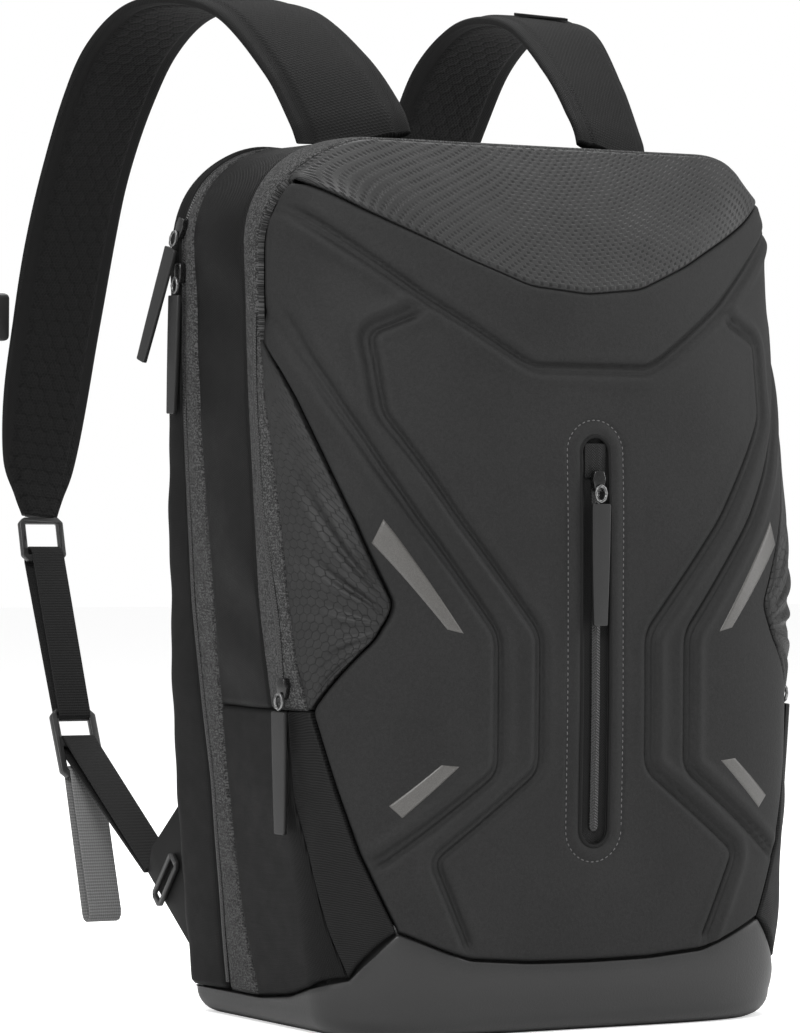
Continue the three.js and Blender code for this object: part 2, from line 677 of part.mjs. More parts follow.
function traySolid(outer, inner) {
  const count = outer[0].length;
  const points = [...outer.flat(), ...inner.flat()];
  const faces = [];
  const shift = outer.length * count;
  const band = (from, to, flip) => {
    for (let j = 0; j < count; j += 1) {
      const k = (j + 1) % count;
      const quadA = [from + j, from + k, to + k];
      const quadB = [from + j, to + k, to + j];
      if (flip) faces.push([quadA[0], quadA[2], quadA[1]], [quadB[0], quadB[2], quadB[1]]);
      else faces.push(quadA, quadB);
    }
  };
  for (let i = 0; i < outer.length - 1; i += 1) {
    band(i * count, (i + 1) * count, false);
    band(shift + i * count, shift + (i + 1) * count, true);
  }
  band(0, shift, true);
  const fan = (start, flip) => {
    const middle = points.length;
    points.push(new THREE.Vector3(0, 0, points[start].z));
    for (let j = 0; j < count; j += 1) {
      const k = (j + 1) % count;
      faces.push(flip ? [middle, start + k, start + j] : [middle, start + j, start + k]);
    }
  };
  fan((outer.length - 1) * count, false);
  fan(shift + (inner.length - 1) * count, true);
  return closedGeometry(points, faces);
}
addMesh('base_panel', traySolid(baseRings(0), baseRings(baseWall)), baseLook);

// Front zip: tape and coil set back in the slot, webbing garage at its top
function frontPlate(width, length, mid, shift, thick) {
  const rows = [];
  for (let k = 0; k <= 8; k += 1) rows.push(mid + length * (k / 8 - 0.5) * 1.04);
  const patch = thickPatch(rows.map((z) => [-1, 0, 1].map((across) => {
    const x = across * width * 0.6;
    const normal = frontNormal(x, z);
    const point = new THREE.Vector3(x, frontDepth(x, z), z).addScaledVector(normal, shift);
    return { point, normal };
  })), thick);
  const prism = alongY(stadium(width, length, mid), -frontReach * 1.4, frontReach, 4);
  return fromManifold(toManifold(patch).intersect(toManifold(prism)));
}
const tapeWidth = slotWidth - 2 * seamGap;
const tapeLength = slotLength - 2 * seamGap;
const coilTop = -slotRecess + seamGap + 1.2;
addMesh('front_zip_tape', frontPlate(tapeWidth, tapeLength, slotMid, -slotRecess, zipTapeThick), webbingLook);
const garageLength = 18;
const slotTop = slotMid + slotLength / 2;
const coilLength = slotLength - garageLength - 16;
const coilMid = slotMid - slotLength / 2 + 8 + coilLength / 2;
addMesh('front_zip_coil', frontPlate(zipCoilWidth, coilLength, coilMid, coilTop, 1.2), webbingLook);

const garageMid = slotTop - 4 - garageLength / 2;
const garage = new THREE.BoxGeometry(slotWidth - 5, 1.2, garageLength);
garage.translate(0, frontDepth(0, garageMid) + slotRecess - seamGap - 0.9, garageMid);
addMesh('front_zip_garage', garage, webbingLook);

// Reflective strips lying on the shell
function strip(corners, side) {
  const points = corners.map(([x, z]) => [x * halfWidth * side, z * bodyHeight]);
  const reachX = points.map(([x]) => x);
  const reachZ = points.map(([, z]) => z);
  const [lowX, highX] = [Math.min(...reachX) - 2, Math.max(...reachX) + 2];
  const [lowZ, highZ] = [Math.min(...reachZ) - 2, Math.max(...reachZ) + 2];
  const patch = thickPatch([0, 0.25, 0.5, 0.75, 1].map((up) => [0, 0.25, 0.5, 0.75, 1].map((across) => {
    const x = lowX + across * (highX - lowX);
    const z = lowZ + up * (highZ - lowZ);
    const normal = frontNormal(x, z);
    const point = new THREE.Vector3(x, frontDepth(x, z), z);
    return { point: point.addScaledVector(normal, stripLift + stripThick), normal };
  })), stripThick);
  const outline = new THREE.Shape(points.map(([x, z]) => new THREE.Vector2(x, z)));
  const prism = alongY(outline, -frontReach * 1.4, frontReach);
  return fromManifold(toManifold(patch).intersect(toManifold(prism)));
}
for (const side of [-1, 1]) {
  const hand = side < 0 ? 'left' : 'right';
  addMesh(`reflective_upper_${hand}`, strip(STRIP_UPPER, side), stripLook);
  addMesh(`reflective_lower_${hand}`, strip(STRIP_LOWER, side), stripLook);
}

// A flat band swept through points, each with a width direction
function sweepBand(stops, chamfer) {
  const rings = stops.map((stop, i) => {
    const before = stops[Math.max(i - 1, 0)].at;
    const after = stops[Math.min(i + 1, stops.length - 1)].at;
    const along = after.clone().sub(before).normalize();
    const across = stop.across.clone().addScaledVector(along, -stop.across.dot(along)).normalize();
    const out = across.clone().cross(along);
    const a = stop.width / 2;
    const b = stop.thick / 2;
    const corners = chamfer
      ? [[a, b - chamfer], [a - chamfer, b], [chamfer - a, b], [-a, b - chamfer],
        [-a, chamfer - b], [chamfer - a, -b], [a - chamfer, -b], [a, chamfer - b]]
      : [[a, b], [-a, b], [-a, -b], [a, -b]];
    return corners.map(([w, t]) => {
      const p = stop.at.clone().addScaledVector(across, w).addScaledVector(out, t);
      if (stop.cutAt !== undefined) p.addScaledVector(along, (stop.cutAt - p.z) / along.z);
      return p;
    });
  });
  return ringLoft(rings);
}

// Zip slider with its wire bail and pull tab: at is on the coil, out the way off the surface
function zipPull(name, at, out, tip, bend = 0) {
  const along = tip.clone().sub(at).normalize();
  const face = out.clone().addScaledVector(along, -out.dot(along)).normalize();
  const across = face.clone().cross(along).normalize();
  const place = new THREE.Matrix4().makeBasis(across, along.clone().negate(), face);
  const outline = new THREE.Shape();
  const w = sliderWidth / 2;
  const l = sliderLength / 2;
  outline.moveTo(-w * 0.6, -l);
  outline.lineTo(w * 0.6, -l);
  outline.lineTo(w, l * 0.2);
  outline.lineTo(w * 0.7, l);
  outline.lineTo(-w * 0.7, l);
  outline.lineTo(-w, l * 0.2);
  outline.closePath();
  const body = new THREE.ExtrudeGeometry(outline, { depth: sliderThick, bevelEnabled: false });
  body.applyMatrix4(place);
  body.translate(...at.toArray());
  addMesh(`${name}_slider`, body, sliderLook);

  const ring = new THREE.Shape();
  ring.absellipse(0, 0, bailWire + 2.4, bailLength / 2, 0, Math.PI * 2);
  const eye = new THREE.Path();
  eye.absellipse(0, 0, 2.4, bailLength / 2 - bailWire, 0, Math.PI * 2);
  ring.holes.push(eye);
  const bail = new THREE.ExtrudeGeometry(ring, { depth: bailWire, bevelEnabled: false, curveSegments: 4 });
  bail.applyMatrix4(place);
  const bailMid = at.clone().addScaledVector(along, sliderLength / 2 + 1).addScaledVector(face, sliderThick + 0.3);
  bail.translate(...bailMid.toArray());
  addMesh(`${name}_bail`, bail, bailLook);

  const start = bailMid.clone().addScaledVector(along, bailLength / 2 + 0.3).addScaledVector(face, bailWire / 2);
  const stops = [0, 0.33, 0.67, 1].map((share) => ({
    at: start.clone().addScaledVector(along, share * pullLength).addScaledVector(face, bend * share * share),
    across,
    width: pullWidth * (1 - 0.25 * share * share),
    thick: pullThick,
  }));
  addMesh(`${name}_pull`, sweepBand(stops, 0), pullLook);
}

const down = new THREE.Vector3(0, 0, -1);
const frontZipLevel = 0.617 * bodyHeight;
const frontZipAt = new THREE.Vector3(0, frontDepth(0, frontZipLevel) - 0.4, frontZipLevel);
zipPull('front_zip', frontZipAt, new THREE.Vector3(0, -1, 0), frontZipAt.clone().add(down));

const pocketZipLevel = 0.385 * bodyHeight;
for (const side of [-1, 1]) {
  const hand = side < 0 ? 'left' : 'right';
  const seat = anglePoint(side, bandAngle(pocketZipLevel) / 2, pocketZipLevel);
  const at = seat.point.clone().addScaledVector(seat.normal, 0.9);
  const tip = at.clone().add(new THREE.Vector3(-side * 0.04, 0.03, -1));
  zipPull(`pocket_zip_${hand}`, at, seat.normal, tip);
}

const mainZipStops = [[0.905, 0.30, 0], [0.853, 0.02, 0]];
mainZipStops.forEach(([up, lean, bend], i) => {
  const z = up * bodyHeight;
  const out = new THREE.Vector3(-1, 0, 0);
  const at = new THREE.Vector3(-widthAt(z) - 0.5, zipLine(z), z);
  const tip = at.clone().add(new THREE.Vector3(-lean * 0.45, lean, -1));
  zipPull(`main_zip_${i + 1}`, at, out, tip, bend);
});

// A frame with one or two windows, its bars square in section
function barFrame(width, length, bar, thick, windows) {
  const shape = new THREE.Shape();
  const w = width / 2;
  const l = length / 2;
  const r = bar * 0.8;
  shape.moveTo(-w + r, -l);
  shape.lineTo(w - r, -l);
  shape.lineTo(w, -l + r);
  shape.lineTo(w, l - r);
  shape.lineTo(w - r, l);
  shape.lineTo(-w + r, l);
  shape.lineTo(-w, l - r);
  shape.lineTo(-w, -l + r);
  shape.closePath();
  const room = (length - bar * (windows + 1)) / windows;
  for (let k = 0; k < windows; k += 1) {
    const low = -l + bar + k * (room + bar);
    const hole = new THREE.Path();
    hole.moveTo(-w + bar, low);
    hole.lineTo(w - bar, low);
    hole.lineTo(w - bar, low + room);
    hole.lineTo(-w + bar, low + room);
    hole.closePath();
    shape.holes.push(hole);
  }
  const geometry = new THREE.ExtrudeGeometry(shape, { depth: thick, bevelEnabled: false });
  geometry.translate(0, 0, -thick / 2);
  return geometry;
}

// A closed webbing loop round two bars, drawn in y and z and drawn out along x
function webbingLoop(x, from, to, fromRadius, toRadius) {
  const gap = to.clone().sub(from);
  const heading = Math.atan2(gap.y, gap.x);
  const outline = (grow) => {
    const ra = fromRadius + grow;
    const rb = toRadius + grow;
    const lean = Math.acos((ra - rb) / gap.length());
    const points = [];
    for (let k = 0; k <= 5; k += 1) {
      const turn = heading + lean + ((2 * Math.PI - 2 * lean) * k) / 5;
      points.push(new THREE.Vector2(from.x + ra * Math.cos(turn), from.y + ra * Math.sin(turn)));
    }
    for (let k = 0; k <= 5; k += 1) {
      const turn = heading - lean + (2 * lean * k) / 5;
      points.push(new THREE.Vector2(to.x + rb * Math.cos(turn), to.y + rb * Math.sin(turn)));
    }
    return points;
  };
  const shape = new THREE.Shape(outline(webbingThick));
  shape.holes.push(new THREE.Path(outline(0)));
  const geometry = new THREE.ExtrudeGeometry(shape, { depth: webbingWidth, bevelEnabled: false });
  geometry.applyMatrix4(new THREE.Matrix4().makeBasis(
    new THREE.Vector3(0, 1, 0),
    new THREE.Vector3(0, 0, 1),
    new THREE.Vector3(1, 0, 0),
  ));
  geometry.translate(x - webbingWidth / 2, 0, 0);
  return geometry;
}

// Straps, their rings, webbing and ladder locks, and the wings that anchor them
const lockAt = new THREE.Vector2(270, 137);
const lockDown = new THREE.Vector2(-0.42, -0.91).normalize();
for (const side of [-1, 1]) {
  const hand = side < 0 ? 'left' : 'right';
  const stopAt = ([out, back, up]) => new THREE.Vector3(
    side * (strapSpread + out * strapSplay),
    strapRoot + back * (strapReach - strapRoot),
    bodyHeight + seamGap + up * (up < 0 ? strapDrop : strapRise),
  );
  const curve = new THREE.CatmullRomCurve3(STRAP_ROUTE.map(stopAt), false, 'centripetal');
  const last = STRAP_ROUTE.length - 1;
  const routeStop = (at) => {
    const k = Math.min(Math.floor(at), last - 1);
    const [a, b] = [STRAP_ROUTE[k], STRAP_ROUTE[k + 1]];
    const turn = (a[4] + (at - k) * (b[4] - a[4])) * radians;
    return {
      at: curve.getPoint(at / last),
      across: new THREE.Vector3(-side * Math.cos(turn), -Math.sin(turn), 0),
      width: strapWidth * (a[3] + (at - k) * (b[3] - a[3])),
      thick: strapThick * (at > last - 1 ? 0.8 : 1),
    };
  };
  const stops = [];
  for (let k = 0; k <= last * 2; k += 1) stops.push(routeStop(k / 2));
  stops[0].cutAt = bodyHeight + seamGap;
  addMesh(`shoulder_strap_${hand}`, sweepBand(stops, strapThick * 0.3), strapLook);

  // Thin webbing loop across the strap's outer face
  const barStop = routeStop(3.5);
  const barNext = routeStop(3.7);
  const along = barNext.at.clone().sub(barStop.at).normalize();
  const across = barStop.across.addScaledVector(along, -barStop.across.dot(along)).normalize();
  const out = across.clone().cross(along).multiplyScalar(-side);
  const barAt = barStop.at.addScaledVector(out, strapThick / 2 + seamGap + 0.7);
  const bar = [-1, -0.4, 0.4, 1].map((share) => ({
    at: barAt.clone().addScaledVector(across, share * 16),
    across: along,
    width: 5,
    thick: 1.6,
  }));
  addMesh(`strap_bar_${hand}`, sweepBand(bar, 0), webbingLook);

  // Sternum clip at the strap's outer edge
  const clipStop = routeStop(10);
  const clip = new THREE.BoxGeometry(clipWidth, clipWidth * 0.8, clipLength);
  clip.translate(
    clipStop.at.x + side * (strapWidth / 2 + 2 * seamGap + clipWidth / 2),
    clipStop.at.y + strapWidth * 0.07,
    clipStop.at.z,
  );
  addMesh(`sternum_clip_${hand}`, clip, hardwareLook);

  // Ring at the strap's end
  const end = stops[stops.length - 1].at;
  const endWay = end.clone().sub(stops[stops.length - 2].at).normalize();
  const x = end.x;
  const frameWidth = webbingWidth + 2 * ringBar + 1;
  const ringWay = new THREE.Vector2(endWay.y, endWay.z).normalize();
  const ringAt = new THREE.Vector2(end.y, end.z).addScaledVector(ringWay, ringLength / 2 + 0.9);
  const turnTo = (way) => new THREE.Matrix4().makeBasis(
    new THREE.Vector3(1, 0, 0),
    new THREE.Vector3(0, -way.x, -way.y),
    new THREE.Vector3(0, way.y, -way.x),
  );
  const ring = barFrame(frameWidth, ringLength, ringBar, ringBar, 1);
  ring.applyMatrix4(turnTo(ringWay));
  ring.translate(x, ringAt.x, ringAt.y);
  addMesh(`strap_ring_${hand}`, ring, hardwareLook);

  // Ladder lock
  const lock = barFrame(frameWidth, lockLength, lockThick, lockThick, 2);
  lock.applyMatrix4(turnTo(lockDown));
  lock.translate(x, lockAt.x, lockAt.y);
  addMesh(`ladder_lock_${hand}`, lock, hardwareLook);

  // Webbing: ring to lock, lock to wing, and the grey loop for pulling the strap tight
  const barReach = (lockLength - lockThick) / 2;
  const ringFoot = ringAt.clone().addScaledVector(ringWay, (ringLength - ringBar) / 2);
  const lockHead = lockAt.clone().addScaledVector(lockDown, -barReach);
  const lockFoot = lockAt.clone().addScaledVector(lockDown, barReach);
  const round = lockThick * 0.7072 + seamGap;
  const upper = webbingLoop(x, ringFoot, lockHead, round + 2, round);
  addMesh(`strap_webbing_${hand}`, upper, webbingLook);
  const wingTip = new THREE.Vector2(backReach + wingReach, wingFoot + wingHeight * 0.42);
  const strand = lockAt.clone().sub(wingTip).normalize();
  const wingEnd = wingTip.clone().addScaledVector(strand, webbingThick + 1.2);
  addMesh(`anchor_webbing_${hand}`, webbingLoop(x, lockAt, wingEnd, round, 0.2), webbingLook);
  const loopFoot = lockFoot.clone().add(new THREE.Vector2(-0.31, -0.95).multiplyScalar(pullLoopLength));
  addMesh(`pull_loop_${hand}`, webbingLoop(x, lockFoot, loopFoot, round, 4), greyLook);

  // Wing sewn into the rear seam, with an oval ring on its outer face
  const wing = new THREE.Shape();
  wing.moveTo(0, 0);
  wing.lineTo(wingReach, wingHeight * 0.42);
  wing.lineTo(wingReach * 0.93, wingHeight * 0.56);
  wing.lineTo(0, wingHeight);
  wing.closePath();
  const plate = new THREE.ExtrudeGeometry(wing, { depth: wingThick, bevelEnabled: false });
  plate.applyMatrix4(new THREE.Matrix4().makeBasis(
    new THREE.Vector3(0, 1, 0),
    new THREE.Vector3(0, 0, 1),
    new THREE.Vector3(1, 0, 0),
  ));
  const wingX = halfWidth - wingInset;
  plate.translate(side < 0 ? -wingX : wingX - wingThick, backReach + seamGap, wingFoot);
  addMesh(`wing_${hand}`, plate, clothLook);

  const oval = barFrame(12, 34, 3, 2.4, 1);
  oval.applyMatrix4(new THREE.Matrix4().makeRotationY(Math.PI / 2));
  oval.rotateX(Math.PI / 4.4);
  const ovalX = side * (wingX + seamGap + 1.2);
  oval.rotateX(Math.PI / 2);
  oval.translate(ovalX, backReach + wingReach * 0.62, wingFoot + wingHeight * 0.4);
  addMesh(`wing_ring_${hand}`, oval, hardwareLook);
}

export default model;
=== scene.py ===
import math

import bpy
import numpy as np
from mathutils import Matrix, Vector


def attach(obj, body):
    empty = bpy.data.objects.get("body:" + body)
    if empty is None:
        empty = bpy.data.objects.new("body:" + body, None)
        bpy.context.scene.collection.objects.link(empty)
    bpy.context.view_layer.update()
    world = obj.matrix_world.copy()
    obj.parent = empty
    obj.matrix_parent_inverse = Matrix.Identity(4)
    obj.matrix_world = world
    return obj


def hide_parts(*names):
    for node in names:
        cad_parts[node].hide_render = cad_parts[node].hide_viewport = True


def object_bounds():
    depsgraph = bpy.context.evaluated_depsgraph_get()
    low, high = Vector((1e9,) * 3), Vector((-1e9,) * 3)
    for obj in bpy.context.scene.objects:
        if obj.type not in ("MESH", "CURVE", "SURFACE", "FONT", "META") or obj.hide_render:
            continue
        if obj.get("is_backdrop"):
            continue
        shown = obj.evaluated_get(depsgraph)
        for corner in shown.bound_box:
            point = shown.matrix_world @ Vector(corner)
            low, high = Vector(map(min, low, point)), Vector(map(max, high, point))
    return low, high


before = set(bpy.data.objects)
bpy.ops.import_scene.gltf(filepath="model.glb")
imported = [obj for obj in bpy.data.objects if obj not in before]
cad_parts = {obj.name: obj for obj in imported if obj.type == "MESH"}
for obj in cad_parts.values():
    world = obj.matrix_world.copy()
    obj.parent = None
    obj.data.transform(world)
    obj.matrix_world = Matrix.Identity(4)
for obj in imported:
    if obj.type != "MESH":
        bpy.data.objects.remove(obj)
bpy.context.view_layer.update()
scene = bpy.context.scene

# Camera, floor and light. A long lens stands level with the middle of the bag, 30 degrees to its
# left. Large soft lights hang in front, on both sides and above. The pale floor glows faintly and
# the backdrop is white, both for the camera alone, so that they meet without a line.
TURN, TILT, ROLL = math.radians(-29.99), math.radians(0.125), math.radians(0.442)
BACK = np.array([math.sin(TURN) * math.cos(TILT), -math.cos(TURN) * math.cos(TILT), math.sin(TILT)])
RIGHT = np.array([math.cos(TURN), math.sin(TURN), 0.0])
UP = np.cross(RIGHT, -BACK)
SEEN_RIGHT = RIGHT * math.cos(ROLL) + UP * math.sin(ROLL)
SEEN_UP = UP * math.cos(ROLL) - RIGHT * math.sin(ROLL)
EYE = BACK * 2.5225 - RIGHT * 0.056 + UP * 0.2486 + np.array([0, 0, 0.022])

lens = bpy.data.cameras.new("camera")
lens.lens, lens.sensor_width, lens.clip_start, lens.clip_end = 161.66, 36, 0.1, 60
camera = bpy.data.objects.new("camera", lens)
scene.collection.objects.link(camera)
turned = Matrix(np.column_stack([SEEN_RIGHT, SEEN_UP, BACK]).tolist()).to_4x4()
camera.matrix_world = Matrix.Translation(EYE.tolist()) @ turned
scene.camera = camera
scene.view_settings.view_transform = "Standard"

world = bpy.data.worlds.new("studio")
world.use_nodes = True
sky = world.node_tree.nodes["Background"]
sky.inputs["Color"].default_value = (1, 1, 1, 1)
seen = world.node_tree.nodes.new("ShaderNodeLightPath")
level = world.node_tree.nodes.new("ShaderNodeMapRange")
level.inputs["To Min"].default_value, level.inputs["To Max"].default_value = 0.5, 1.0
world.node_tree.links.new(seen.outputs["Is Camera Ray"], level.inputs["Value"])
world.node_tree.links.new(level.outputs[0], sky.inputs["Strength"])
scene.world = world


def unit(vectors):
    """Each vector divided by its length."""
    return vectors / np.linalg.norm(vectors, axis=-1, keepdims=True)


LIGHTS = [
    # name, place, aimed at, width, height, watts
    ("front_light", (-1.5, -1.9, 2.1), (0, 0, 0.25), 1.0, 0.9, 72),
    ("left_light", (-2.2, 0.2, 1.0), (0, 0, 0.25), 0.7, 1.6, 9),
    ("right_light", (2.1, -0.8, 1.1), (0, 0, 0.25), 0.6, 1.6, 26),
    ("top_light", (0.2, 0.4, 2.2), (0, 0, 0.4), 1.6, 1.6, 40),
]
for name, place, aim, width, height, watts in LIGHTS:
    lamp = bpy.data.lights.new(name, "AREA")
    lamp.shape, lamp.size, lamp.size_y, lamp.energy = "RECTANGLE", width, height, watts
    holder = bpy.data.objects.new(name, lamp)
    scene.collection.objects.link(holder)
    away = unit(np.array(place) - np.array(aim))
    side = unit(np.cross([0, 0, 1.0], away))
    turned = Matrix(np.column_stack([side, np.cross(away, side), away]).tolist()).to_4x4()
    holder.matrix_world = Matrix.Translation(place) @ turned


class Value:
    """A number or vector that varies over a surface. Arithmetic on it adds Math nodes."""

    def __init__(self, finish, socket):
        self.finish, self.socket = finish, socket

    def __add__(self, other):
        return self.finish.maths("ADD", self, other)

    def __sub__(self, other):
        return self.finish.maths("SUBTRACT", self, other)

    def __rsub__(self, other):
        return self.finish.maths("SUBTRACT", other, self)

    def __mul__(self, other):
        return self.finish.maths("MULTIPLY", self, other)

    def __truediv__(self, other):
        return self.finish.maths("DIVIDE", self, other)

    def __mod__(self, other):
        return self.finish.maths("FLOORED_MODULO", self, other)

    def __abs__(self):
        return self.finish.maths("ABSOLUTE", self)

    def sin(self):
        return self.finish.maths("SINE", self)

    def smaller(self, other):
        return self.finish.maths("MINIMUM", self, other)

    def larger(self, other):
        return self.finish.maths("MAXIMUM", self, other)

    __radd__ = __add__
    __rmul__ = __mul__


class Finish:
    """A material. cloth() reads the piece's own across and along in millimetres."""

    def __init__(self, name):
        self.material = bpy.data.materials.new(name)
        self.material.use_nodes = True
        self.tree = self.material.node_tree
        self.tree.nodes.clear()
        self.end = self.tree.nodes.new("ShaderNodeOutputMaterial")

    def node(self, kind, settings=None, sockets=None, out=0):
        made = self.tree.nodes.new("ShaderNode" + kind)
        for key, value in (settings or {}).items():
            setattr(made, key, value)
        for key, value in (sockets or {}).items():
            if isinstance(value, Value):
                self.tree.links.new(value.socket, made.inputs[key])
            else:
                made.inputs[key].default_value = value
        return Value(self, made.outputs[out])

    def maths(self, operation, a, b=0.0):
        return self.node("Math", {"operation": operation}, {0: a, 1: b})

    def cloth(self):
        read = self.node("Attribute", {"attribute_name": "cloth"}, out=1)
        return self.parts(read)

    def place(self):
        return self.node("TexCoord", out=3)

    def parts(self, vector):
        split = self.node("SeparateXYZ", None, {0: vector})
        outs = split.socket.node.outputs
        return Value(self, outs[0]), Value(self, outs[1]), Value(self, outs[2])

    def join(self, x, y, z=0.0):
        return self.node("CombineXYZ", None, {0: x, 1: y, 2: z})

    def noise(self, where, scale, detail=3.0, rough=0.5):
        sockets = {"Vector": where, "Scale": scale, "Detail": detail, "Roughness": rough}
        return self.node("TexNoise", None, sockets)

    def mix(self, factor, a, b):
        settings = {"data_type": "RGBA", "clamp_factor": True}
        sockets = {0: factor, 6: (*a, 1) if isinstance(a, tuple) else a}
        sockets[7] = (*b, 1) if isinstance(b, tuple) else b
        return self.node("Mix", settings, sockets, out=2)

    def soft(self, value, low, high):
        settings = {"interpolation_type": "SMOOTHSTEP"}
        return self.node("MapRange", settings, {0: value, 1: low, 2: high, 3: 0.0, 4: 1.0})

    def bump(self, height, millimetres, strength=1.0):
        sockets = {"Height": height, "Distance": millimetres / 1000, "Strength": strength}
        return self.node("Bump", None, sockets)

    def cover(self, **sockets):
        """Ends the material in one shader. Underscores in a name stand for spaces."""
        named = {key.replace("_", " "): value for key, value in sockets.items()}
        shader = self.node("BsdfPrincipled", None, named)
        self.tree.links.new(shader.socket, self.end.inputs["Surface"])
        return self.material

    def ribs(self, pattern, dark, light, roughness, millimetres, strength, **more):
        """Ends the material in a shader whose tone and relief follow one pattern."""
        tone = self.mix(pattern, grey(dark), grey(light))
        normal = self.bump(pattern, millimetres, strength)
        return self.cover(Base_Color=tone, Roughness=roughness, Normal=normal, **more)


def grey(level):
    """A neutral colour from its sRGB level, 0 to 255."""
    share = level / 255
    linear = share / 12.92 if share < 0.04 else ((share + 0.055) / 1.055) ** 2.4
    return (linear, linear, linear)


paper = Finish("floor_paper")
fibre = paper.noise(paper.place(), 60.0)
floor_look = paper.cover(
    Base_Color=paper.mix(fibre, (0.9, 0.9, 0.9), (0.94, 0.94, 0.94)), Roughness=0.9,
    Specular_IOR_Level=0.1, Emission_Strength=0.5,
    Emission_Color=paper.mix(paper.node("LightPath"), (0, 0, 0), (1, 1, 1)),
)
sheet = bpy.data.meshes.new("floor")
sheet.from_pydata([(-9, -9, 0), (9, -9, 0), (9, 9, 0), (-9, 9, 0)], [], [(0, 1, 2, 3)])
sheet.materials.append(floor_look)
floor = bpy.data.objects.new("floor", sheet)
scene.collection.objects.link(floor)
floor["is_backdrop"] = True


# Front shell. One piece of moulded foam with a knitted face, pressed into grooves that frame the
# middle and the two side fields, and cut for the front zip. It is sewn to the panels all round.
HEIGHT, HALF, FRONT, REAR = 470.0, 157.0, 95.0, 95.0  # all lengths in mm
CORNER, BACK_CORNER, BASE_ROUND = 55.0, 12.0, 14.0
RIM_ANGLE, FOOT_ANGLE = -0.3, -56.5  # degrees before the rim, at the shell's side and foot
SEAM = 0.3  # what each panel stays clear of its seam
SECTION = np.array([
    # height, half width, rim, front, roundness
    [0.000, 0.885, -0.421, -0.884, 5.0], [0.043, 0.898, -0.432, -0.947, 5.0],
    [0.109, 0.924, -0.421, -0.974, 4.6], [0.202, 0.949, -0.379, -0.989, 4.2],
    [0.291, 0.968, -0.337, -1.000, 4.1], [0.364, 0.981, -0.305, -1.005, 4.0],
    [0.477, 0.994, -0.232, -1.000, 4.0], [0.574, 1.000, -0.179, -0.995, 4.2],
    [0.704, 1.006, -0.116, -0.963, 3.0], [0.779, 1.003, -0.105, -0.937, 2.3],
    [0.830, 1.000, -0.084, -0.912, 2.0], [0.881, 1.000, -0.079, -0.874, 1.9],
    [0.940, 1.000, -0.158, -0.811, 1.85], [0.970, 1.000, -0.242, -0.768, 1.8],
    [0.987, 1.000, -0.337, -0.747, 1.8], [1.000, 1.000, -0.379, -0.737, 1.8],
])
TOP_SEAM = np.array([
    [0.000, 0.829], [0.217, 0.836], [0.433, 0.865], [0.541, 0.883],
    [0.650, 0.900], [0.758, 0.918], [0.856, 0.938], [0.933, 0.952],
])
SHELL_FOOT = np.array([[0.00, 0.080], [0.33, 0.081], [0.65, 0.087], [0.80, 0.099], [1.00, 0.119]])
SHELL_EDGE = np.array([
    [0.119, -56.5], [0.206, -40.9], [0.280, -31.2], [0.361, -21.4], [0.440, -50.0],
    [0.468, -55.4], [0.481, -56.5], [0.493, -55.0], [0.571, -44.6], [0.647, -30.9],
    [0.706, -20.0], [0.738, -12.4], [0.772, -1.8], [0.800, 0.0], [1.000, 0.0],
])


def follow(table, at, column=1, blur=0.0):
    """A table's column at each place, by straight lines, averaged over a short window."""
    shifts = np.linspace(-blur, blur, 7) if blur else [0.0]
    return np.mean([np.interp(at + shift, table[:, 0], table[:, column]) for shift in shifts], 0)


def half_width(z):
    """Half width by height: the table above, then the top corner's circle."""
    z = np.asarray(z, float)
    start = HEIGHT - CORNER
    arc = HALF - CORNER + np.sqrt(np.clip(CORNER ** 2 - (z - start) ** 2, 0, None))
    return np.where(z > start, arc, follow(SECTION, z / HEIGHT, 1, 0.02) * HALF)


def rim(z):
    """Depth at which the body's flat side begins, by height."""
    return follow(SECTION, np.asarray(z) / HEIGHT, 2, 0.012) * FRONT


def shell_depth(x, z):
    """Rim depth, less the forward reach times the root of 1 - (x / half width) ^ roundness."""
    share = np.clip(np.abs(x) / half_width(z), 0, 1)
    reach = rim(z) - follow(SECTION, z / HEIGHT, 3, 0.02) * FRONT
    power = follow(SECTION, z / HEIGHT, 4, 0.02)
    return rim(z) - reach * np.sqrt(np.clip(1 - share ** power, 0, 1))


def seam_height(x):
    """Height of the shell's upper seam, by distance from the middle."""
    return follow(TOP_SEAM, np.abs(x) / HALF, 1, 0.03) * HEIGHT


def top_height(x):
    """Height of the body's top: level, then the corner's quarter circle."""
    past = np.clip(np.abs(x) - (HALF - CORNER), 0, CORNER)
    return HEIGHT - CORNER + np.sqrt(CORNER ** 2 - past ** 2)


def at_angle(angle, z):
    """Half width times sin(90 + angle) ^ (2 / roundness): 0 is the rim, -90 the middle."""
    power = 2 / follow(SECTION, z / HEIGHT, 4, 0.02)
    return half_width(z) * np.sin(np.radians(90 + np.clip(angle, -90, 0))) ** power


def skin(reach, z, side):
    """A point of the body's side: reach is mm behind the rim, or if negative degrees before it."""
    x = np.where(reach > 0, half_width(z), at_angle(reach, z))
    y = np.where(reach > 0, rim(z) + reach, shell_depth(x, z))
    return np.stack([side * x, y, z + 0 * x], -1)


def normals_of(points):
    """Cross product of a grid's two directions, turned to face away from the body's middle."""
    across, along = np.gradient(points, axis=1), np.gradient(points, axis=0)
    normal = np.cross(across, along)
    normal /= np.linalg.norm(normal, axis=-1, keepdims=True) + 1e-12
    away = points - np.array([0, 10.0, 0])
    away[..., 2] -= np.clip(points[..., 2], 60, 410)
    return -normal if (normal * away).sum() < 0 else normal


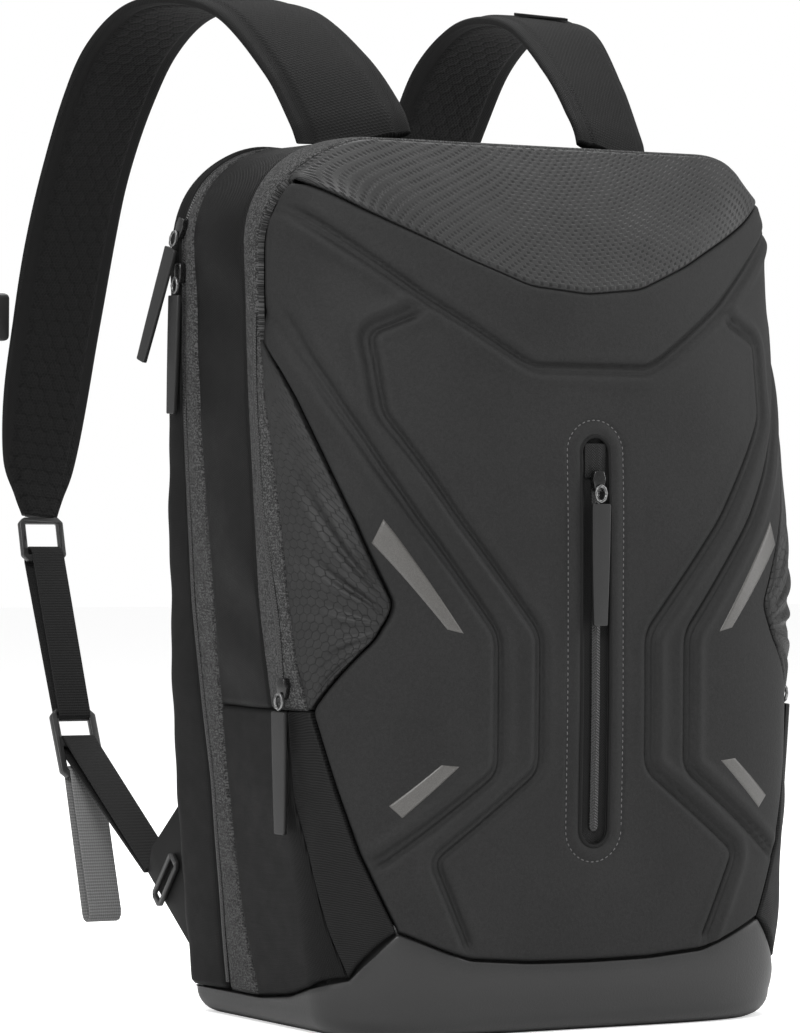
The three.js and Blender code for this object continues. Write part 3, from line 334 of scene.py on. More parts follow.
def lengths_of(points):
    """Distance in mm along each grid direction, from the first line."""
    across = np.linalg.norm(np.diff(points, axis=1), axis=-1)
    along = np.linalg.norm(np.diff(points, axis=0), axis=-1)
    u = np.pad(np.cumsum(across, 1), ((0, 0), (1, 0)))
    v = np.pad(np.cumsum(along, 0), ((1, 0), (0, 0)))
    return u - u[:, -1:] / 2, v


def grid_faces(rows, columns, wrap=False):
    """Quads between neighbouring rows and columns, in numpy."""
    last = columns if wrap else columns - 1
    i, j = np.meshgrid(np.arange(rows - 1), np.arange(last), indexing="ij")
    k = (j + 1) % columns
    corners = [i * columns + j, i * columns + k, (i + 1) * columns + k, (i + 1) * columns + j]
    return np.stack(corners, -1).reshape(-1, 4)


def solid(name, vertices, faces, cloth, look, nodes=(), caps=()):
    mesh = bpy.data.meshes.new(name)
    mesh.from_pydata((np.asarray(vertices) / 1000).tolist(), [], faces.tolist() + list(caps))
    mesh.attributes.new("cloth", "FLOAT_VECTOR", "POINT").data.foreach_set(
        "vector", np.asarray(cloth, np.float32).ravel())
    mesh.shade_smooth()
    mesh.materials.append(look)
    piece = bpy.data.objects.new(name, mesh)
    scene.collection.objects.link(piece)
    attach(piece, "root")
    if nodes:
        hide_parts(*nodes)


def faces_away(points, normal):
    """True where the quads of the grid would face against the given normals."""
    ring = np.cross(np.gradient(points, axis=1), np.gradient(points, axis=0))
    return (ring * normal).sum() < 0


def panel(name, points, look, nodes=(), relief=0.0, roll=1.6, lip=3.0):
    """A sewn panel: a grid raised by its relief along the normals, its edges rolled under.

    Near an edge the surface falls as a quarter circle of radius roll, then turns in by lip.
    """
    normal = normals_of(points)
    rows, columns = points.shape[:2]
    u, v = lengths_of(points)
    edge = np.minimum.reduce([u - u[:, :1], u[:, -1:] - u, v, v[-1:] - v])
    fall = np.clip(roll - edge, 0, roll)
    height = relief - (roll - np.sqrt(np.clip(roll ** 2 - fall ** 2, 0, None)))
    outer = points + normal * np.broadcast_to(height, (rows, columns))[..., None]
    if faces_away(points, normal):
        order = slice(None, None, -1)
        outer, u, v, edge = outer[:, order], u[:, order], v[:, order], edge[:, order]
        normal = normal[:, order]
    loop = np.concatenate([
        np.arange(columns), np.arange(1, rows) * columns + columns - 1,
        (rows - 1) * columns + np.arange(columns - 2, -1, -1), np.arange(rows - 2, 0, -1) * columns,
    ])
    flat, lean = outer.reshape(-1, 3), normal.reshape(-1, 3)
    under = flat[loop] - lean[loop] * lip
    count, start = len(loop), rows * columns
    after = np.roll(np.arange(count), -1)
    skirt = np.stack([loop, start + np.arange(count), start + after, loop[after]], -1)
    faces = np.concatenate([grid_faces(rows, columns), skirt])
    cloth = np.stack([u, v, edge], -1).reshape(-1, 3)
    cloth = np.concatenate([cloth, cloth[loop]])
    solid(name, np.concatenate([flat, under]), faces, cloth, look, nodes)


def rounded(corners, radius):
    """A polyline with each corner replaced by a short parabola, radius mm to either side."""
    corners = np.asarray(corners, float)
    done = [corners[0]]
    for before, here, after in zip(corners[:-2], corners[1:-1], corners[2:]):
        to, on = here - before, after - here
        reach = min(radius, np.linalg.norm(to) * 0.45, np.linalg.norm(on) * 0.45)
        a, b = here - to / np.linalg.norm(to) * reach, here + on / np.linalg.norm(on) * reach
        for t in np.linspace(0, 1, 6):
            done.append((1 - t) ** 2 * a + 2 * t * (1 - t) * here + t ** 2 * b)
    return np.array(done + [corners[-1]])


def run_of(line):
    """Length along a line of points, from its first point to each."""
    steps = np.linalg.norm(np.diff(line, axis=0), axis=1)
    return np.concatenate([[0], np.cumsum(steps)])


def signed_distance(line, x, z):
    """Distance to a polyline, positive to the left of its direction, and the share along it."""
    best, sign, along = np.full(x.shape, 1e9), np.ones(x.shape), np.zeros(x.shape)
    steps, run = np.linalg.norm(np.diff(line, axis=0), axis=1), run_of(line)
    for k in range(len(line) - 1):
        (ax, az), (bx, bz) = line[k], line[k + 1]
        t = ((x - ax) * (bx - ax) + (z - az) * (bz - az)) / steps[k] ** 2
        t = np.clip(t, 0, 1)
        dx, dz = x - ax - t * (bx - ax), z - az - t * (bz - az)
        far = np.hypot(dx, dz)
        near = far < best
        cross = (bx - ax) * dz - (bz - az) * dx
        best, sign = np.where(near, far, best), np.where(near, np.sign(cross), sign)
        along = np.where(near, run[k] + t * steps[k], along)
    return best * sign, along, run[-1]


GROOVE_TOP = rounded([
    (-153, 433), (-126, 411.7), (-93, 385.4), (-44, 353.4), (-35, 349.2),
    (35, 349.2), (44, 353.4), (93, 385.4), (126, 411.7), (153, 433)], 7)
GROOVE_IN = rounded([
    (92, 380.2), (122, 367.1), (120, 346.4), (118.7, 324.3), (82, 269.3),
    (34.1, 210.1), (34.1, 138.7), (94.2, 93.1), (72.5, 44.7)], 7)
GROOVE_OUT = rounded([
    (156, 383), (148, 355.8), (135.5, 326.2), (120.9, 297), (104, 269.3),
    (59, 209.6), (59, 138.2), (125, 89.3)], 7)
SLOT_X, SLOT_LOW, SLOT_HIGH, WELT_SEAM = 0.0, 107.0, 305.0, 17.2


def pressed(line, x, z, fade_in, fade_out):
    """Two creases 3 mm apart with a thin ridge between, and a soft shoulder on the outer side."""
    s, along, total = signed_distance(line, x, z)
    ends = np.clip(along / fade_in, 0.12, 1) * np.clip((total - along) / fade_out, 0.12, 1)
    deep = -2.3 * np.exp(-((s + 1.5) / 1.2) ** 2) - 1.3 * np.exp(-((s - 2.2) / 1.0) ** 2)
    deep -= 0.9 * np.exp(-(np.abs(s) / 3.4) ** 2)
    shoulder = 1.5 * np.exp(-((s - 6.6) / 3.6) ** 2) + 0.5 * np.exp(-((s + 5.6) / 3.2) ** 2)
    return (deep + shoulder) * ends


def slot_distance(x, z):
    """Distance from the upright line down the middle of the front zip."""
    return np.hypot(x - SLOT_X, z - np.clip(z, SLOT_LOW, SLOT_HIGH))


def shell_relief(x, z):
    """Grooves and their shoulders, the welt of the zip slot, and slow unevenness of the foam."""
    side = np.abs(x)
    height = pressed(GROOVE_TOP[::-1], x, z, 8.0, 8.0)
    for line in (GROOVE_IN, GROOVE_OUT):
        height = height + pressed(line, side, z, 9.0, 5.0)
    d = slot_distance(x, z)
    welt = 0.9 * np.exp(-((d - 12.5) / 3.0) ** 2) - 0.75 * np.exp(-((d - WELT_SEAM) / 0.9) ** 2)
    ramp = np.clip((d - 7.4) / 1.6, 0, 1)
    sunk = -4.2 * (1 - ramp ** 2 * (3 - 2 * ramp))
    wander = 0.25 * np.sin(x / 31 + 1.3) * np.sin(z / 43 + 0.4) + 0.15 * np.sin(x / 17 + z / 23)
    middle = 0.9 * np.clip(1 - (side / 30) ** 2, 0, 1) * np.clip((z - 60) / 40, 0, 1)
    return height + welt + sunk + wander + middle * np.clip((340 - z) / 40, 0, 1) * 0.5


def shell_edge(share):
    """Angle of the shell's side seam, by the share of the height."""
    return np.minimum(follow(SHELL_EDGE, share, 1, 0.006), RIM_ANGLE) - 0.3


share = np.linspace(-1, 1, 271)[None, :]
levels = np.linspace(SHELL_FOOT[-1, 1], 0.9525, 350)[:, None]
foot_width = at_angle(np.array(FOOT_ANGLE), np.array(SHELL_FOOT[-1, 1] * HEIGHT))
level_z = levels * HEIGHT
rise = (levels - levels[0]) / (levels[-1] - levels[0])
edge_x = at_angle(shell_edge(levels), np.minimum(level_z, 444.0))
seam_end = HALF - CORNER + CORNER * math.cos(math.radians(36))
for _ in range(2):
    x = share * (edge_x * (1 - rise ** 6) + np.minimum(edge_x, seam_end) * rise ** 6)
    low = follow(SHELL_FOOT, np.abs(share), 1, 0.02) * HEIGHT + SEAM
    high = seam_height(share * seam_end) - SEAM
    z = low + rise * (high - low)
    edge_z = (z[:, -1:] + z[:, :1]) / 2
    edge_x = at_angle(shell_edge(edge_z / HEIGHT), edge_z)
x = share * np.minimum(edge_x, half_width(edge_z) - 0.2)
x = np.clip(x, -half_width(z) + 0.2, half_width(z) - 0.2)
shell_points = np.stack([x, shell_depth(x, z), z], -1)

foam = Finish("moulded_foam")
where = foam.place()
grain = foam.noise(where, 1500.0, 2.0)
knit = foam.noise(where, 520.0, 3.0)
mottle = foam.noise(where, 18.0, 4.0)
FOAM_LOOK = foam.cover(
    Base_Color=foam.mix(foam.soft(grain + knit * 0.6 + mottle * 0.8, 0.8, 1.7), grey(24), grey(36)),
    Roughness=foam.soft(mottle, 0.0, 1.0) * 0.12 + 0.62,
    Normal=foam.bump(grain * 0.6 + knit, 0.16, 0.9), Specular_IOR_Level=0.2,
)
panel("shell", shell_points, FOAM_LOOK, ["front_shell"],
      shell_relief(x, z), roll=3.0, lip=4.0)


# Top panel. A smoother fabric printed with rows of small scales, lightly padded, sewn into the
# shell's upper seam below and into the rim of the gusset above.
x = (np.linspace(-1, 1, 170) * (seam_end - 0.4))[None, :]
up = np.linspace(0, 1, 90)[:, None]
low, high = seam_height(x), top_height(x)
z = low + SEAM + up * (high - low - 2 * SEAM)
at_seam, at_top = shell_depth(x, low), rim(high)
y = at_seam * (1 - up) + at_top * up - 2.2 * np.sin(np.pi * up)
top_points = np.stack([x + 0 * z, y, z], -1)
top_relief = 0.5 * np.sin(x / 27 + z / 60) * np.sin(np.pi * up)

scales = Finish("scaled_fabric")
across, along, edge = scales.cloth()
row = along / 2.6
step = row - row % 1.0
beside = across / 5.2 + (step % 2.0) * 0.5
dash = scales.soft(abs(beside % 1.0 - 0.5), 0.10, 0.30)
line = scales.soft(abs(row % 1.0 - 0.5), 0.22, 0.42)
cell = (1 - dash) * (1 - line)
dark = cell * scales.soft(scales.noise(scales.join(across / 40, along / 25), 1.0), 0.25, 0.6)
fibre = scales.noise(scales.place(), 1100.0, 2.0)
TOP_LOOK = scales.cover(
    Base_Color=scales.mix(dark * 0.95 + fibre * 0.2, grey(37), grey(10)),
    Roughness=dark * 0.2 + 0.46, Normal=scales.bump(cell * -1.0 + fibre * 0.35, 0.28, 0.8),
    Specular_IOR_Level=0.3,
)
panel("top_fabric", top_points, TOP_LOOK, ["top_panel"], top_relief)


# Side strips. The knitted band with the pocket zips, the twill gusset, the tape of the main zip
# and the rear band run up one side, over the top and down the other, sewn edge to edge.
TAPE_FRONT = np.array([
    [0.000, 0.16], [0.045, 0.17], [0.139, 0.274], [0.278, 0.337],
    [0.476, 0.426], [0.747, 0.611], [0.970, 0.72], [1.000, 0.70]])
MAIN_ZIP = np.array([
    [0.000, 0.51], [0.048, 0.51], [0.136, 0.489], [0.276, 0.505],
    [0.474, 0.663], [0.748, 0.774], [0.970, 0.815], [1.000, 0.80]])
BAND_REAR = np.array([
    [0.361, -0.23], [0.426, -0.158], [0.482, -0.105], [0.615, -0.047],
    [0.762, 0.026], [0.817, 0.053], [0.879, 0.084], [1.000, 0.084]])
BAND_FRONT = np.array([
    [0.361, -20.4], [0.417, -15.8], [0.483, -13.2], [0.571, -11.4],
    [0.671, -7.2], [0.749, -3.3], [0.772, -0.9], [0.800, 0.0], [1.000, 0.0]])
BASE_SIDE = np.array([[-0.72, 0.067], [-0.43, 0.053], [-0.21, 0.041], [0.14, 0.033], [1.0, 0.033]])
WAIST = 0.361 * HEIGHT  # the level seam under the gusset and the pockets


def zip_line(z):
    """Depth of the main zip by height. The next two give the gusset's rear and front seams."""
    return follow(MAIN_ZIP, z / HEIGHT, 1, 0.02) * REAR


def tape_line(z):
    return follow(TAPE_FRONT, z / HEIGHT, 1, 0.02) * REAR


def band_line(z):
    return follow(BAND_REAR, z / HEIGHT, 1, 0.012) * REAR


def way_round(low, step=2.2):
    """Stations up the side, round the top corners and down again: x, z and the outward x and z."""
    start = HEIGHT - CORNER
    rise = np.linspace(low, start, int((start - low) / step))
    turn = np.linspace(0, np.pi / 2, 26)[1:]
    x = np.concatenate([half_width(rise), HALF - CORNER + CORNER * np.cos(turn)])
    z = np.concatenate([rise, start + CORNER * np.sin(turn)])
    nx = np.concatenate([np.ones(len(rise)), np.cos(turn)])
    nz = np.concatenate([np.zeros(len(rise)), np.sin(turn)])
    top = np.linspace(-1, 1, 80)[1:-1] * (HALF - CORNER)
    half = np.stack([x, z, nx, nz], -1)
    level = np.stack([top, 0 * top + HEIGHT, 0 * top, 0 * top + 1], -1)
    return np.concatenate([half * [-1, 1, -1, 1], level, half[::-1]])


def strip_points(stations, rear, front, columns):
    """Points between two depths, each a function of height, on the flat side of the body."""
    x, z = stations[:, :1], stations[:, 1:2]
    t = np.linspace(0, 1, columns)[None, :]
    y = rear(z) * (1 - t) + front(z) * t
    return np.stack([x + 0 * y, y, z + 0 * y], -1), t


def strip_relief(stations, t, bulge, wave, seed):
    """A strip's crown between its seams, and soft folds across it from a few seeded waves."""
    rng = np.random.default_rng(seed)
    v = np.arange(len(stations))[:, None] * 2.2
    folds = 0
    for _ in range(9):
        length, phase, slant = rng.uniform(14, 70), rng.uniform(0, 6.3), rng.uniform(-1.2, 1.2)
        folds = folds + np.sin(v / length * 2 * np.pi / 2.2 + phase + slant * t * 2)
    crown = np.sin(np.pi * np.clip(t, 0, 1)) ** 0.6
    return crown * (bulge + wave * folds / 4)


def knitted(name, light, dark, pitch=0.9):
    """Random short loops of a knitted tape: noise pinched into worms, lit on their tops."""
    knit = Finish(name)
    across, along, edge = knit.cloth()
    spot = knit.join(across, along)
    loops = abs(knit.noise(spot, pitch, 2.0, 0.7) - 0.5)
    lumps = knit.soft(loops, 0.0, 0.09)
    fluff = knit.noise(knit.place(), 1600.0, 2.0)
    rib = knit.soft(edge, 0.4, 1.1) * knit.soft(edge, 2.6, 1.6)
    return knit.cover(
        Base_Color=knit.mix(lumps * 0.75 + fluff * 0.35, grey(dark), grey(light)),
        Roughness=0.85, Normal=knit.bump(lumps + fluff * 0.4 + rib * 1.5, 0.35, 0.9),
        Specular_IOR_Level=0.15,
    )


def woven(name, light, dark, pitch, slant, gloss=0.55, relief=0.12):
    """Plain threads: ridges on a slant crossed by a finer count, with slow unevenness."""
    weave = Finish(name)
    across, along, edge = weave.cloth()
    ridge = ((across * math.cos(slant) + along * math.sin(slant)) * (2 * math.pi / pitch)).sin()
    back = along * math.cos(slant) - across * math.sin(slant)
    count = (back * (2 * math.pi / (pitch * 0.9))).sin()
    thread = ridge * 0.5 + ridge * count * 0.35 + 0.5
    slow = weave.noise(weave.join(across / 12, along / 12), 1.0, 3.0)
    tone = thread * 0.7 + slow * 0.5
    return weave.cover(
        Base_Color=weave.mix(weave.soft(tone, 0.1, 1.1), grey(dark), grey(light)),
        Roughness=slow * 0.2 + gloss, Normal=weave.bump(thread, relief, 0.9),
        Specular_IOR_Level=0.13,
    )


BAND_LOOK = knitted("knitted_band", 78, 3, 0.6)
TWILL_LOOK = woven("gusset_twill", 14, 4, 1.0, 0.9, gloss=0.42, relief=0.16)
foot = BASE_SIDE[-1, 1] * HEIGHT + SEAM
full, upper = way_round(foot), way_round(WAIST)

points, t = strip_points(upper, lambda z: tape_line(z) - 0.4, lambda z: band_line(z) + 0.4, 34)
panel("gusset", points, TWILL_LOOK, ["side_gusset"],
      strip_relief(upper, t, 1.6, 2.1, 4), roll=1.5)
points, t = strip_points(full, lambda z: zip_line(z) - 1.4, lambda z: tape_line(z) + 0.4, 16)
panel("main_zip_tape", points, BAND_LOOK, ["main_zip_band"],
      strip_relief(full, t, 1.2, 0.2, 5), roll=1.2)

t = np.linspace(0, 1, 24)[None, :]
x, z, nx, nz = (full[:, k:k + 1] for k in range(4))
start = zip_line(z) + 1.4
flat = np.clip(t / 0.5, 0, 1)
turn = np.clip((t - 0.5) / 0.5, 0, 1) * np.pi / 2
y = start + (REAR - BACK_CORNER - start) * flat + BACK_CORNER * np.sin(turn)
inset = BACK_CORNER * (1 - np.cos(turn))
points = np.stack([x - inset * nx, y, z - inset * nz], -1)
panel("rear_band", points, woven("rear_twill", 16, 6, 1.0, 0.0), ["back_band"],
      strip_relief(full, np.clip(t * 0.94 + 0.03, 0, 1), 2.4, 0.9, 9), roll=1.5)

x, z = upper[:, :1], upper[:, 1:2]
t = np.linspace(0, 1, 22)[None, :]
angle = np.minimum(follow(BAND_FRONT, z / HEIGHT, 1, 0.01), 0) + 0.25
rear_reach = np.maximum(band_line(z) - rim(z) - 0.4, 0.3)
reach = rear_reach * (1 - t) + np.minimum(angle, 0.3) * t
on_side = np.abs(upper[:, 2:3]) > 0.999
side_points = skin(reach, z + 0 * t, np.sign(x))
rim_points = np.stack([x + 0 * t, rim(z) + np.maximum(reach, 0.2), z + 0 * t], -1)
band_points = np.where(on_side[..., None], side_points, rim_points)
panel("pocket_zip_band", band_points, BAND_LOOK, ["front_band"],
      strip_relief(upper, t, 1.3, 0.15, 6), roll=1.3)


# Coil zips. The pocket zips run down the knitted band on both sides, and the main zip follows the
# seam behind its tape all the way round. Their teeth are spun nylon in a low half-round line.
spun = Finish("nylon_coil")
across, along, edge = spun.cloth()
turns = ((along + abs(across) * 0.5) * 4.2).sin() * 0.5 + 0.5
split = spun.soft(abs(across), 0.15, 0.6)
SPUN_LOOK = spun.ribs(turns * split, 5, 34, 0.4, 0.6, 0.9)


def side_x(y, z):
    """The body's side at a depth before the rim: the section's formula solved for x."""
    reach = rim(z) - follow(SECTION, z / HEIGHT, 3, 0.02) * FRONT
    share = np.clip((rim(z) - y) / reach, 0, 1)
    return half_width(z) * (1 - share ** 2) ** (1 / follow(SECTION, z / HEIGHT, 4, 0.02))


def flat_cord(name, line, lean, width, height, look):
    """A low half-round cord along a line: its width lies on the surface, its height along lean."""
    turn = np.linspace(0, 2 * np.pi, 17)[:-1]
    across = np.cross(lean, unit(np.gradient(line, axis=0)))
    w, h = np.cos(turn) * width / 2, np.sin(turn) * height
    ring = line[:, None] + across[:, None] * w[None, :, None] + lean[:, None] * h[None, :, None]
    rows, count = ring.shape[:2]
    cloth = np.stack(np.broadcast_arrays(w[None], run_of(line)[:, None], h[None]), -1)
    faces = grid_faces(rows, count, True)[:, ::-1]
    solid(name, ring.reshape(-1, 3), faces, cloth.reshape(-1, 3), look)


POCKET_ZIP = np.array([[180, -36], [185, -35], [214, -32], [236, -27], [270, -18], [300, -14],
                       [331, -11], [352, -9], [376, -8.2]])
for side, hand in ((-1, "left"), (1, "right")):
    z = np.linspace(181, 376, 140)
    y = follow(POCKET_ZIP, z, 1, 8.0)
    x = side * side_x(y, z)
    line = np.stack([x, y, z], -1)
    ahead = np.stack([side * side_x(y - 1.5, z), y - 1.5, z], -1)
    behind = np.stack([side * side_x(y + 1.5, z), y + 1.5, z], -1)
    lean = np.cross(ahead - behind, np.gradient(line, axis=0))
    lean = unit(lean * np.sign((lean * [side, -0.4, 0]).sum(1, keepdims=True)))
    flat_cord(f"pocket_coil_{hand}", line + lean * 1.25, lean, 4.2, 0.9, SPUN_LOOK)
x, z, nx, nz = way_round(foot + 4, 1.6).T
lean = np.stack([nx, 0 * nx, nz], -1)
line = np.stack([x, zip_line(z), z], -1)
flat_cord("main_coil", line + lean * 0.2, lean, 3.6, 0.8, SPUN_LOOK)


# Side panels: the ripstop pocket beside the shell, the twill corner under it and the nylon panel
# behind that, cut flat, sewn round their edges and drawn into creases where they are pulled.
LOWER_SEAM = np.array([
    [0.030, -33.5], [0.066, -33.0], [0.118, -22.4], [0.159, -17.5],
    [0.202, -13.6], [0.234, -9.9], [0.261, -6.5], [0.361, -7.2]])
BASE_CORNER = np.array([[-56.5, 0.119], [-46.9, 0.095], [-33.0, 0.067]])

rip = Finish("hex_ripstop")
across, along, edge = rip.cloth()
u, v = across / 5.0, along / 5.0


def hexagon(u, v):
    """Distance from the nearest centre of a honeycomb: 0 in a cell's middle, 0.5 at its edge."""
    def nearest(a, b):
        a, b = abs(a % 1.0 - 0.5), abs(b % 1.732 - 0.866)
        return a.larger(a * 0.5 + b * 0.866)
    return nearest(u, v).smaller(nearest(u + 0.5, v + 0.866))


cell = hexagon(u, v)
thread = rip.soft(cell, 0.43, 0.49)
fine = ((across * 9.0).sin() * (along * 9.0).sin()) * 0.5 + 0.5
slow = rip.noise(rip.join(across / 16, along / 16), 1.0, 3.0)
tone = rip.soft(thread * 0.9 + fine * 0.2 + slow * 0.4, 0.1, 1.2)
RIPSTOP_LOOK = rip.cover(
    Base_Color=rip.mix(tone, grey(29), grey(4)),
    Roughness=slow * 0.2 + 0.42, Normal=rip.bump(thread * 0.8 + fine * 0.25, 0.25, 0.8),
    Specular_IOR_Level=0.3,
)
CORNER_LOOK = woven("corner_twill", 29, 8, 1.0, 0.8, gloss=0.5, relief=0.18)
LOWER_LOOK = woven("side_nylon", 15, 4, 1.1, 0.0, gloss=0.5, relief=0.2)


def slack(up, t, crown, slow, fast):
    """A crown and two slanted waves of folds, both falling to nothing at the panel's seams."""
    folds = np.sin(up * slow[0] + t * slow[1] + slow[2]) * slow[3]
    folds = folds + np.sin(up * fast[0] + t * fast[1]) * fast[2]
    return (crown + folds) * (np.sin(np.pi * t) * np.sin(np.pi * up)) ** 0.5


for side, hand in ((-1, "left"), (1, "right")):
    z = np.linspace(0.3625, 0.7715, 150)[:, None] * HEIGHT
    rear = np.minimum(follow(BAND_FRONT, z / HEIGHT, 1, 0.01), 0) - 0.15
    front = np.minimum(follow(SHELL_EDGE, z / HEIGHT, 1, 0.006) + 0.5, rear - 0.3)
    t = np.linspace(0, 1, 70)[None, :]
    points = skin(rear + t * (front - rear), z + 0 * t, side)
    fan = np.arctan2(z - 222 + 8 * t, 60 * (1.12 - t))
    pull = np.exp(-((z - 235) / 60) ** 2) * np.clip(t * 1.3, 0, 1)
    width = np.clip((rear - front) / 20, 0, 1)
    creases = (np.sin(fan * 15 + 2 * t) + 0.6 * np.sin(fan * 27 + 1.0)) * pull
    loose = np.sin(z / 13 + 3 * t) * 0.5 + np.sin(z / 23 - 2 * t) * 0.8
    relief = (1.7 + creases * 1.5 + loose) * np.sin(np.pi * t) ** 0.5 * width
    panel(f"pocket_{hand}", points, RIPSTOP_LOOK, [f"pocket_panel_{hand}"], relief,
          roll=1.3)

    t = np.linspace(0, 1, 60)[None, :]
    up = np.linspace(0, 1, 90)[:, None]
    low = follow(BASE_CORNER, FOOT_ANGLE + (1 - t) * 23.5, 1) * HEIGHT + SEAM
    z = low + up * (WAIST - SEAM - low)
    rear = follow(LOWER_SEAM, z / HEIGHT, 1, 0.01) - 0.2
    front = follow(SHELL_EDGE, np.maximum(z / HEIGHT, 0.119), 1, 0.006) + 0.5
    points = skin(rear + t * (front - rear), z, side)
    relief = slack(up, t, 1.2, (9, 4, 0, 0.6), (21, -7, 0.35))
    panel(f"corner_{hand}", points, CORNER_LOOK, [f"corner_panel_{hand}"], relief,
          roll=1.2)

    seam_low, foot_rear = BASE_CORNER[-1, 1] * HEIGHT, tape_line(np.array(foot))
    back_y = foot_rear - t / 0.7 * (foot_rear - rim(np.array(30.0)))
    bottom = follow(BASE_SIDE, back_y / REAR, 1, 0.03) * HEIGHT
    bottom = np.where(t > 0.7, bottom + (seam_low - bottom) * (t - 0.7) / 0.3, bottom) + SEAM
    z = bottom + up * (WAIST - SEAM - bottom)
    rear = tape_line(z) - rim(z) - 0.7
    front = follow(LOWER_SEAM, z / HEIGHT, 1, 0.01) + 0.2
    reach = np.where(t < 0.7, rear * (1 - t / 0.7) + 0.02, front * (t - 0.7) / 0.3)
    points = skin(reach, z, side)
    relief = slack(up, t, 1.3, (7, 3, 1, 0.7), (17, 5, 0.3))
    panel(f"lower_side_{hand}_panel", points, LOWER_LOOK, [f"lower_side_{hand}"],
          relief, roll=1.2)


# Base. A moulded tray of coated fabric with a fine leather grain: its wall turns up to the seams
# all round, and it is rounded under to the flat that the bag stands on.
def base_ring(level, inset):
    """The body's outline at a height worked out from the seam's, moved inward, and mirrored."""
    front = np.linspace(-90, 0, 70)
    side_run = np.linspace(0, 1, 46)[1:]
    turn = np.linspace(0, np.pi / 2, 12)[1:]
    back = np.linspace(0, 1, 24)[1:]
    x0 = at_angle(front, 0 * front + 30.0)
    by_x = follow(SHELL_FOOT, np.clip(x0 / foot_width, 0, 1), 1, 0.02)
    top_front = np.where(front < FOOT_ANGLE, by_x, follow(BASE_CORNER, front, 1))
    rim_y = rim(np.array(25.0))
    by_angle = np.interp(front, [-33, 0], [0.067, follow(BASE_SIDE, rim_y / REAR)])
    top_front = np.where(front > -33, by_angle, top_front)
    y_run = rim_y + side_run * (REAR - BACK_CORNER - rim_y)
    top_side = follow(BASE_SIDE, y_run / REAR, 1, 0.03)
    tops = np.concatenate([top_front, top_side, 0 * turn + 0.033, 0 * back + 0.033]) * HEIGHT
    z = level(tops)
    wide = half_width(z)
    n_front, n_side, n_turn = len(front), len(side_run), len(turn)
    zf = z[:n_front]
    xf = at_angle(front, zf)
    yf = shell_depth(xf, zf)
    dx, dy = np.gradient(xf), np.gradient(yf)
    size = np.hypot(dx, dy) + 1e-9
    xf, yf = xf - dy / size * inset, yf + dx / size * inset
    zs = slice(n_front, n_front + n_side)
    xs, ys = wide[zs] - inset, y_run
    zt = slice(n_front + n_side, n_front + n_side + n_turn)
    reach = BACK_CORNER - inset
    xt = wide[zt] - BACK_CORNER + reach * np.cos(turn)
    yt = REAR - BACK_CORNER + reach * np.sin(turn)
    xb = (wide[-1] - BACK_CORNER) * (1 - back)
    x = np.concatenate([xf, xs, xt, xb])
    y = np.concatenate([yf, ys, yt, 0 * xb + REAR - inset])
    half = np.stack([x, y, z], -1)
    return np.concatenate([half, half[-2:0:-1] * [-1, 1, 1]])


rings = [base_ring(lambda tops: tops + 5.0, 5.5), base_ring(lambda tops: tops - 1.6, 3.4),
         base_ring(lambda tops: tops - 0.9, 0.9)]
for share in (0.97, 0.9, 0.75, 0.6, 0.45, 0.3, 0.15, 0.0):
    rings.append(base_ring(lambda tops: BASE_ROUND + share * (tops - 0.9 - BASE_ROUND),
                           0.9 * share ** 12 - 0.6 * math.sin(math.pi * share)))
for turn in np.radians([12, 24, 36, 48, 60, 72, 84, 90]):
    ring = base_ring(lambda tops: 0 * tops + BASE_ROUND,
                     min(BASE_ROUND * (1 - math.cos(turn)), BACK_CORNER - 0.5))
    ring[:, 2] = BASE_ROUND * (1 - math.sin(turn))
    rings.append(ring)
rings = np.array(rings)
count = rings.shape[1]
u = np.cumsum(np.linalg.norm(np.diff(rings[4], axis=0, append=rings[4][:1]), axis=1))
v = np.arange(len(rings))[:, None] * 3.0
cloth = np.stack(np.broadcast_arrays(u[None, :], v, 0.0), -1).reshape(-1, 3)
vertices = np.concatenate([rings.reshape(-1, 3), [[0, 0, 0]]])
last = (len(rings) - 1) * count
fan = [(last + (k + 1) % count, last + k, len(vertices) - 1) for k in range(count)]
hide = Finish("coated_base")
where = hide.place()
pebble = hide.node("TexVoronoi", {"feature": "F1"}, {"Vector": where, "Scale": 900.0})
wear = hide.noise(where, 12.0, 5.0)
hide_look = hide.cover(
    Base_Color=hide.mix(wear, grey(30), grey(40)), Roughness=wear * 0.14 + 0.36,
    Normal=hide.bump(pebble + wear * 0.3, 0.09, 0.7), Specular_IOR_Level=0.4,
)
solid("base_tray", vertices, grid_faces(len(rings), count, True)[:, ::-1],
      np.concatenate([cloth, [[0, 0, 0]]]), hide_look, ["base_panel"], caps=fan)


# Lining. Thin black cloth hangs just inside the outer panels and closes the seams from within.
x = np.linspace(-1, 1, 60)[None, :]
up = np.linspace(0, 1, 90)[:, None]
LINING_LOW, LINING_TOP = 20.0, HEIGHT - 26
z = LINING_LOW + up * (LINING_TOP - LINING_LOW)
x = x * (half_width(z) - 5)
seam = np.minimum(z, seam_height(x))
share = np.clip((z - seam_height(x)) / (top_height(x) - seam_height(x)), 0, 1)
y = shell_depth(x, seam) * (1 - share) + rim(np.minimum(top_height(x), 462.0)) * share + 8
lining_look = woven("lining_cloth", 12, 5, 1.2, 0.0)
panel("lining_front", np.stack([x, y, z + 0 * x], -1), lining_look, roll=0.5, lip=1.0)
inner = way_round(LINING_LOW)
x, z, nx, nz = (inner[:, k:k + 1] for k in range(4))
t = np.linspace(0, 1, 20)[None, :]
y = rim(z) + 6 + t * (REAR - 7 - rim(z) - 6)
points = np.stack([x - 5.5 * nx + 0 * t, y, z - 5.5 * nz + 0 * t], -1)
panel("lining_side", points, lining_look, roll=0.5, lip=1.0)


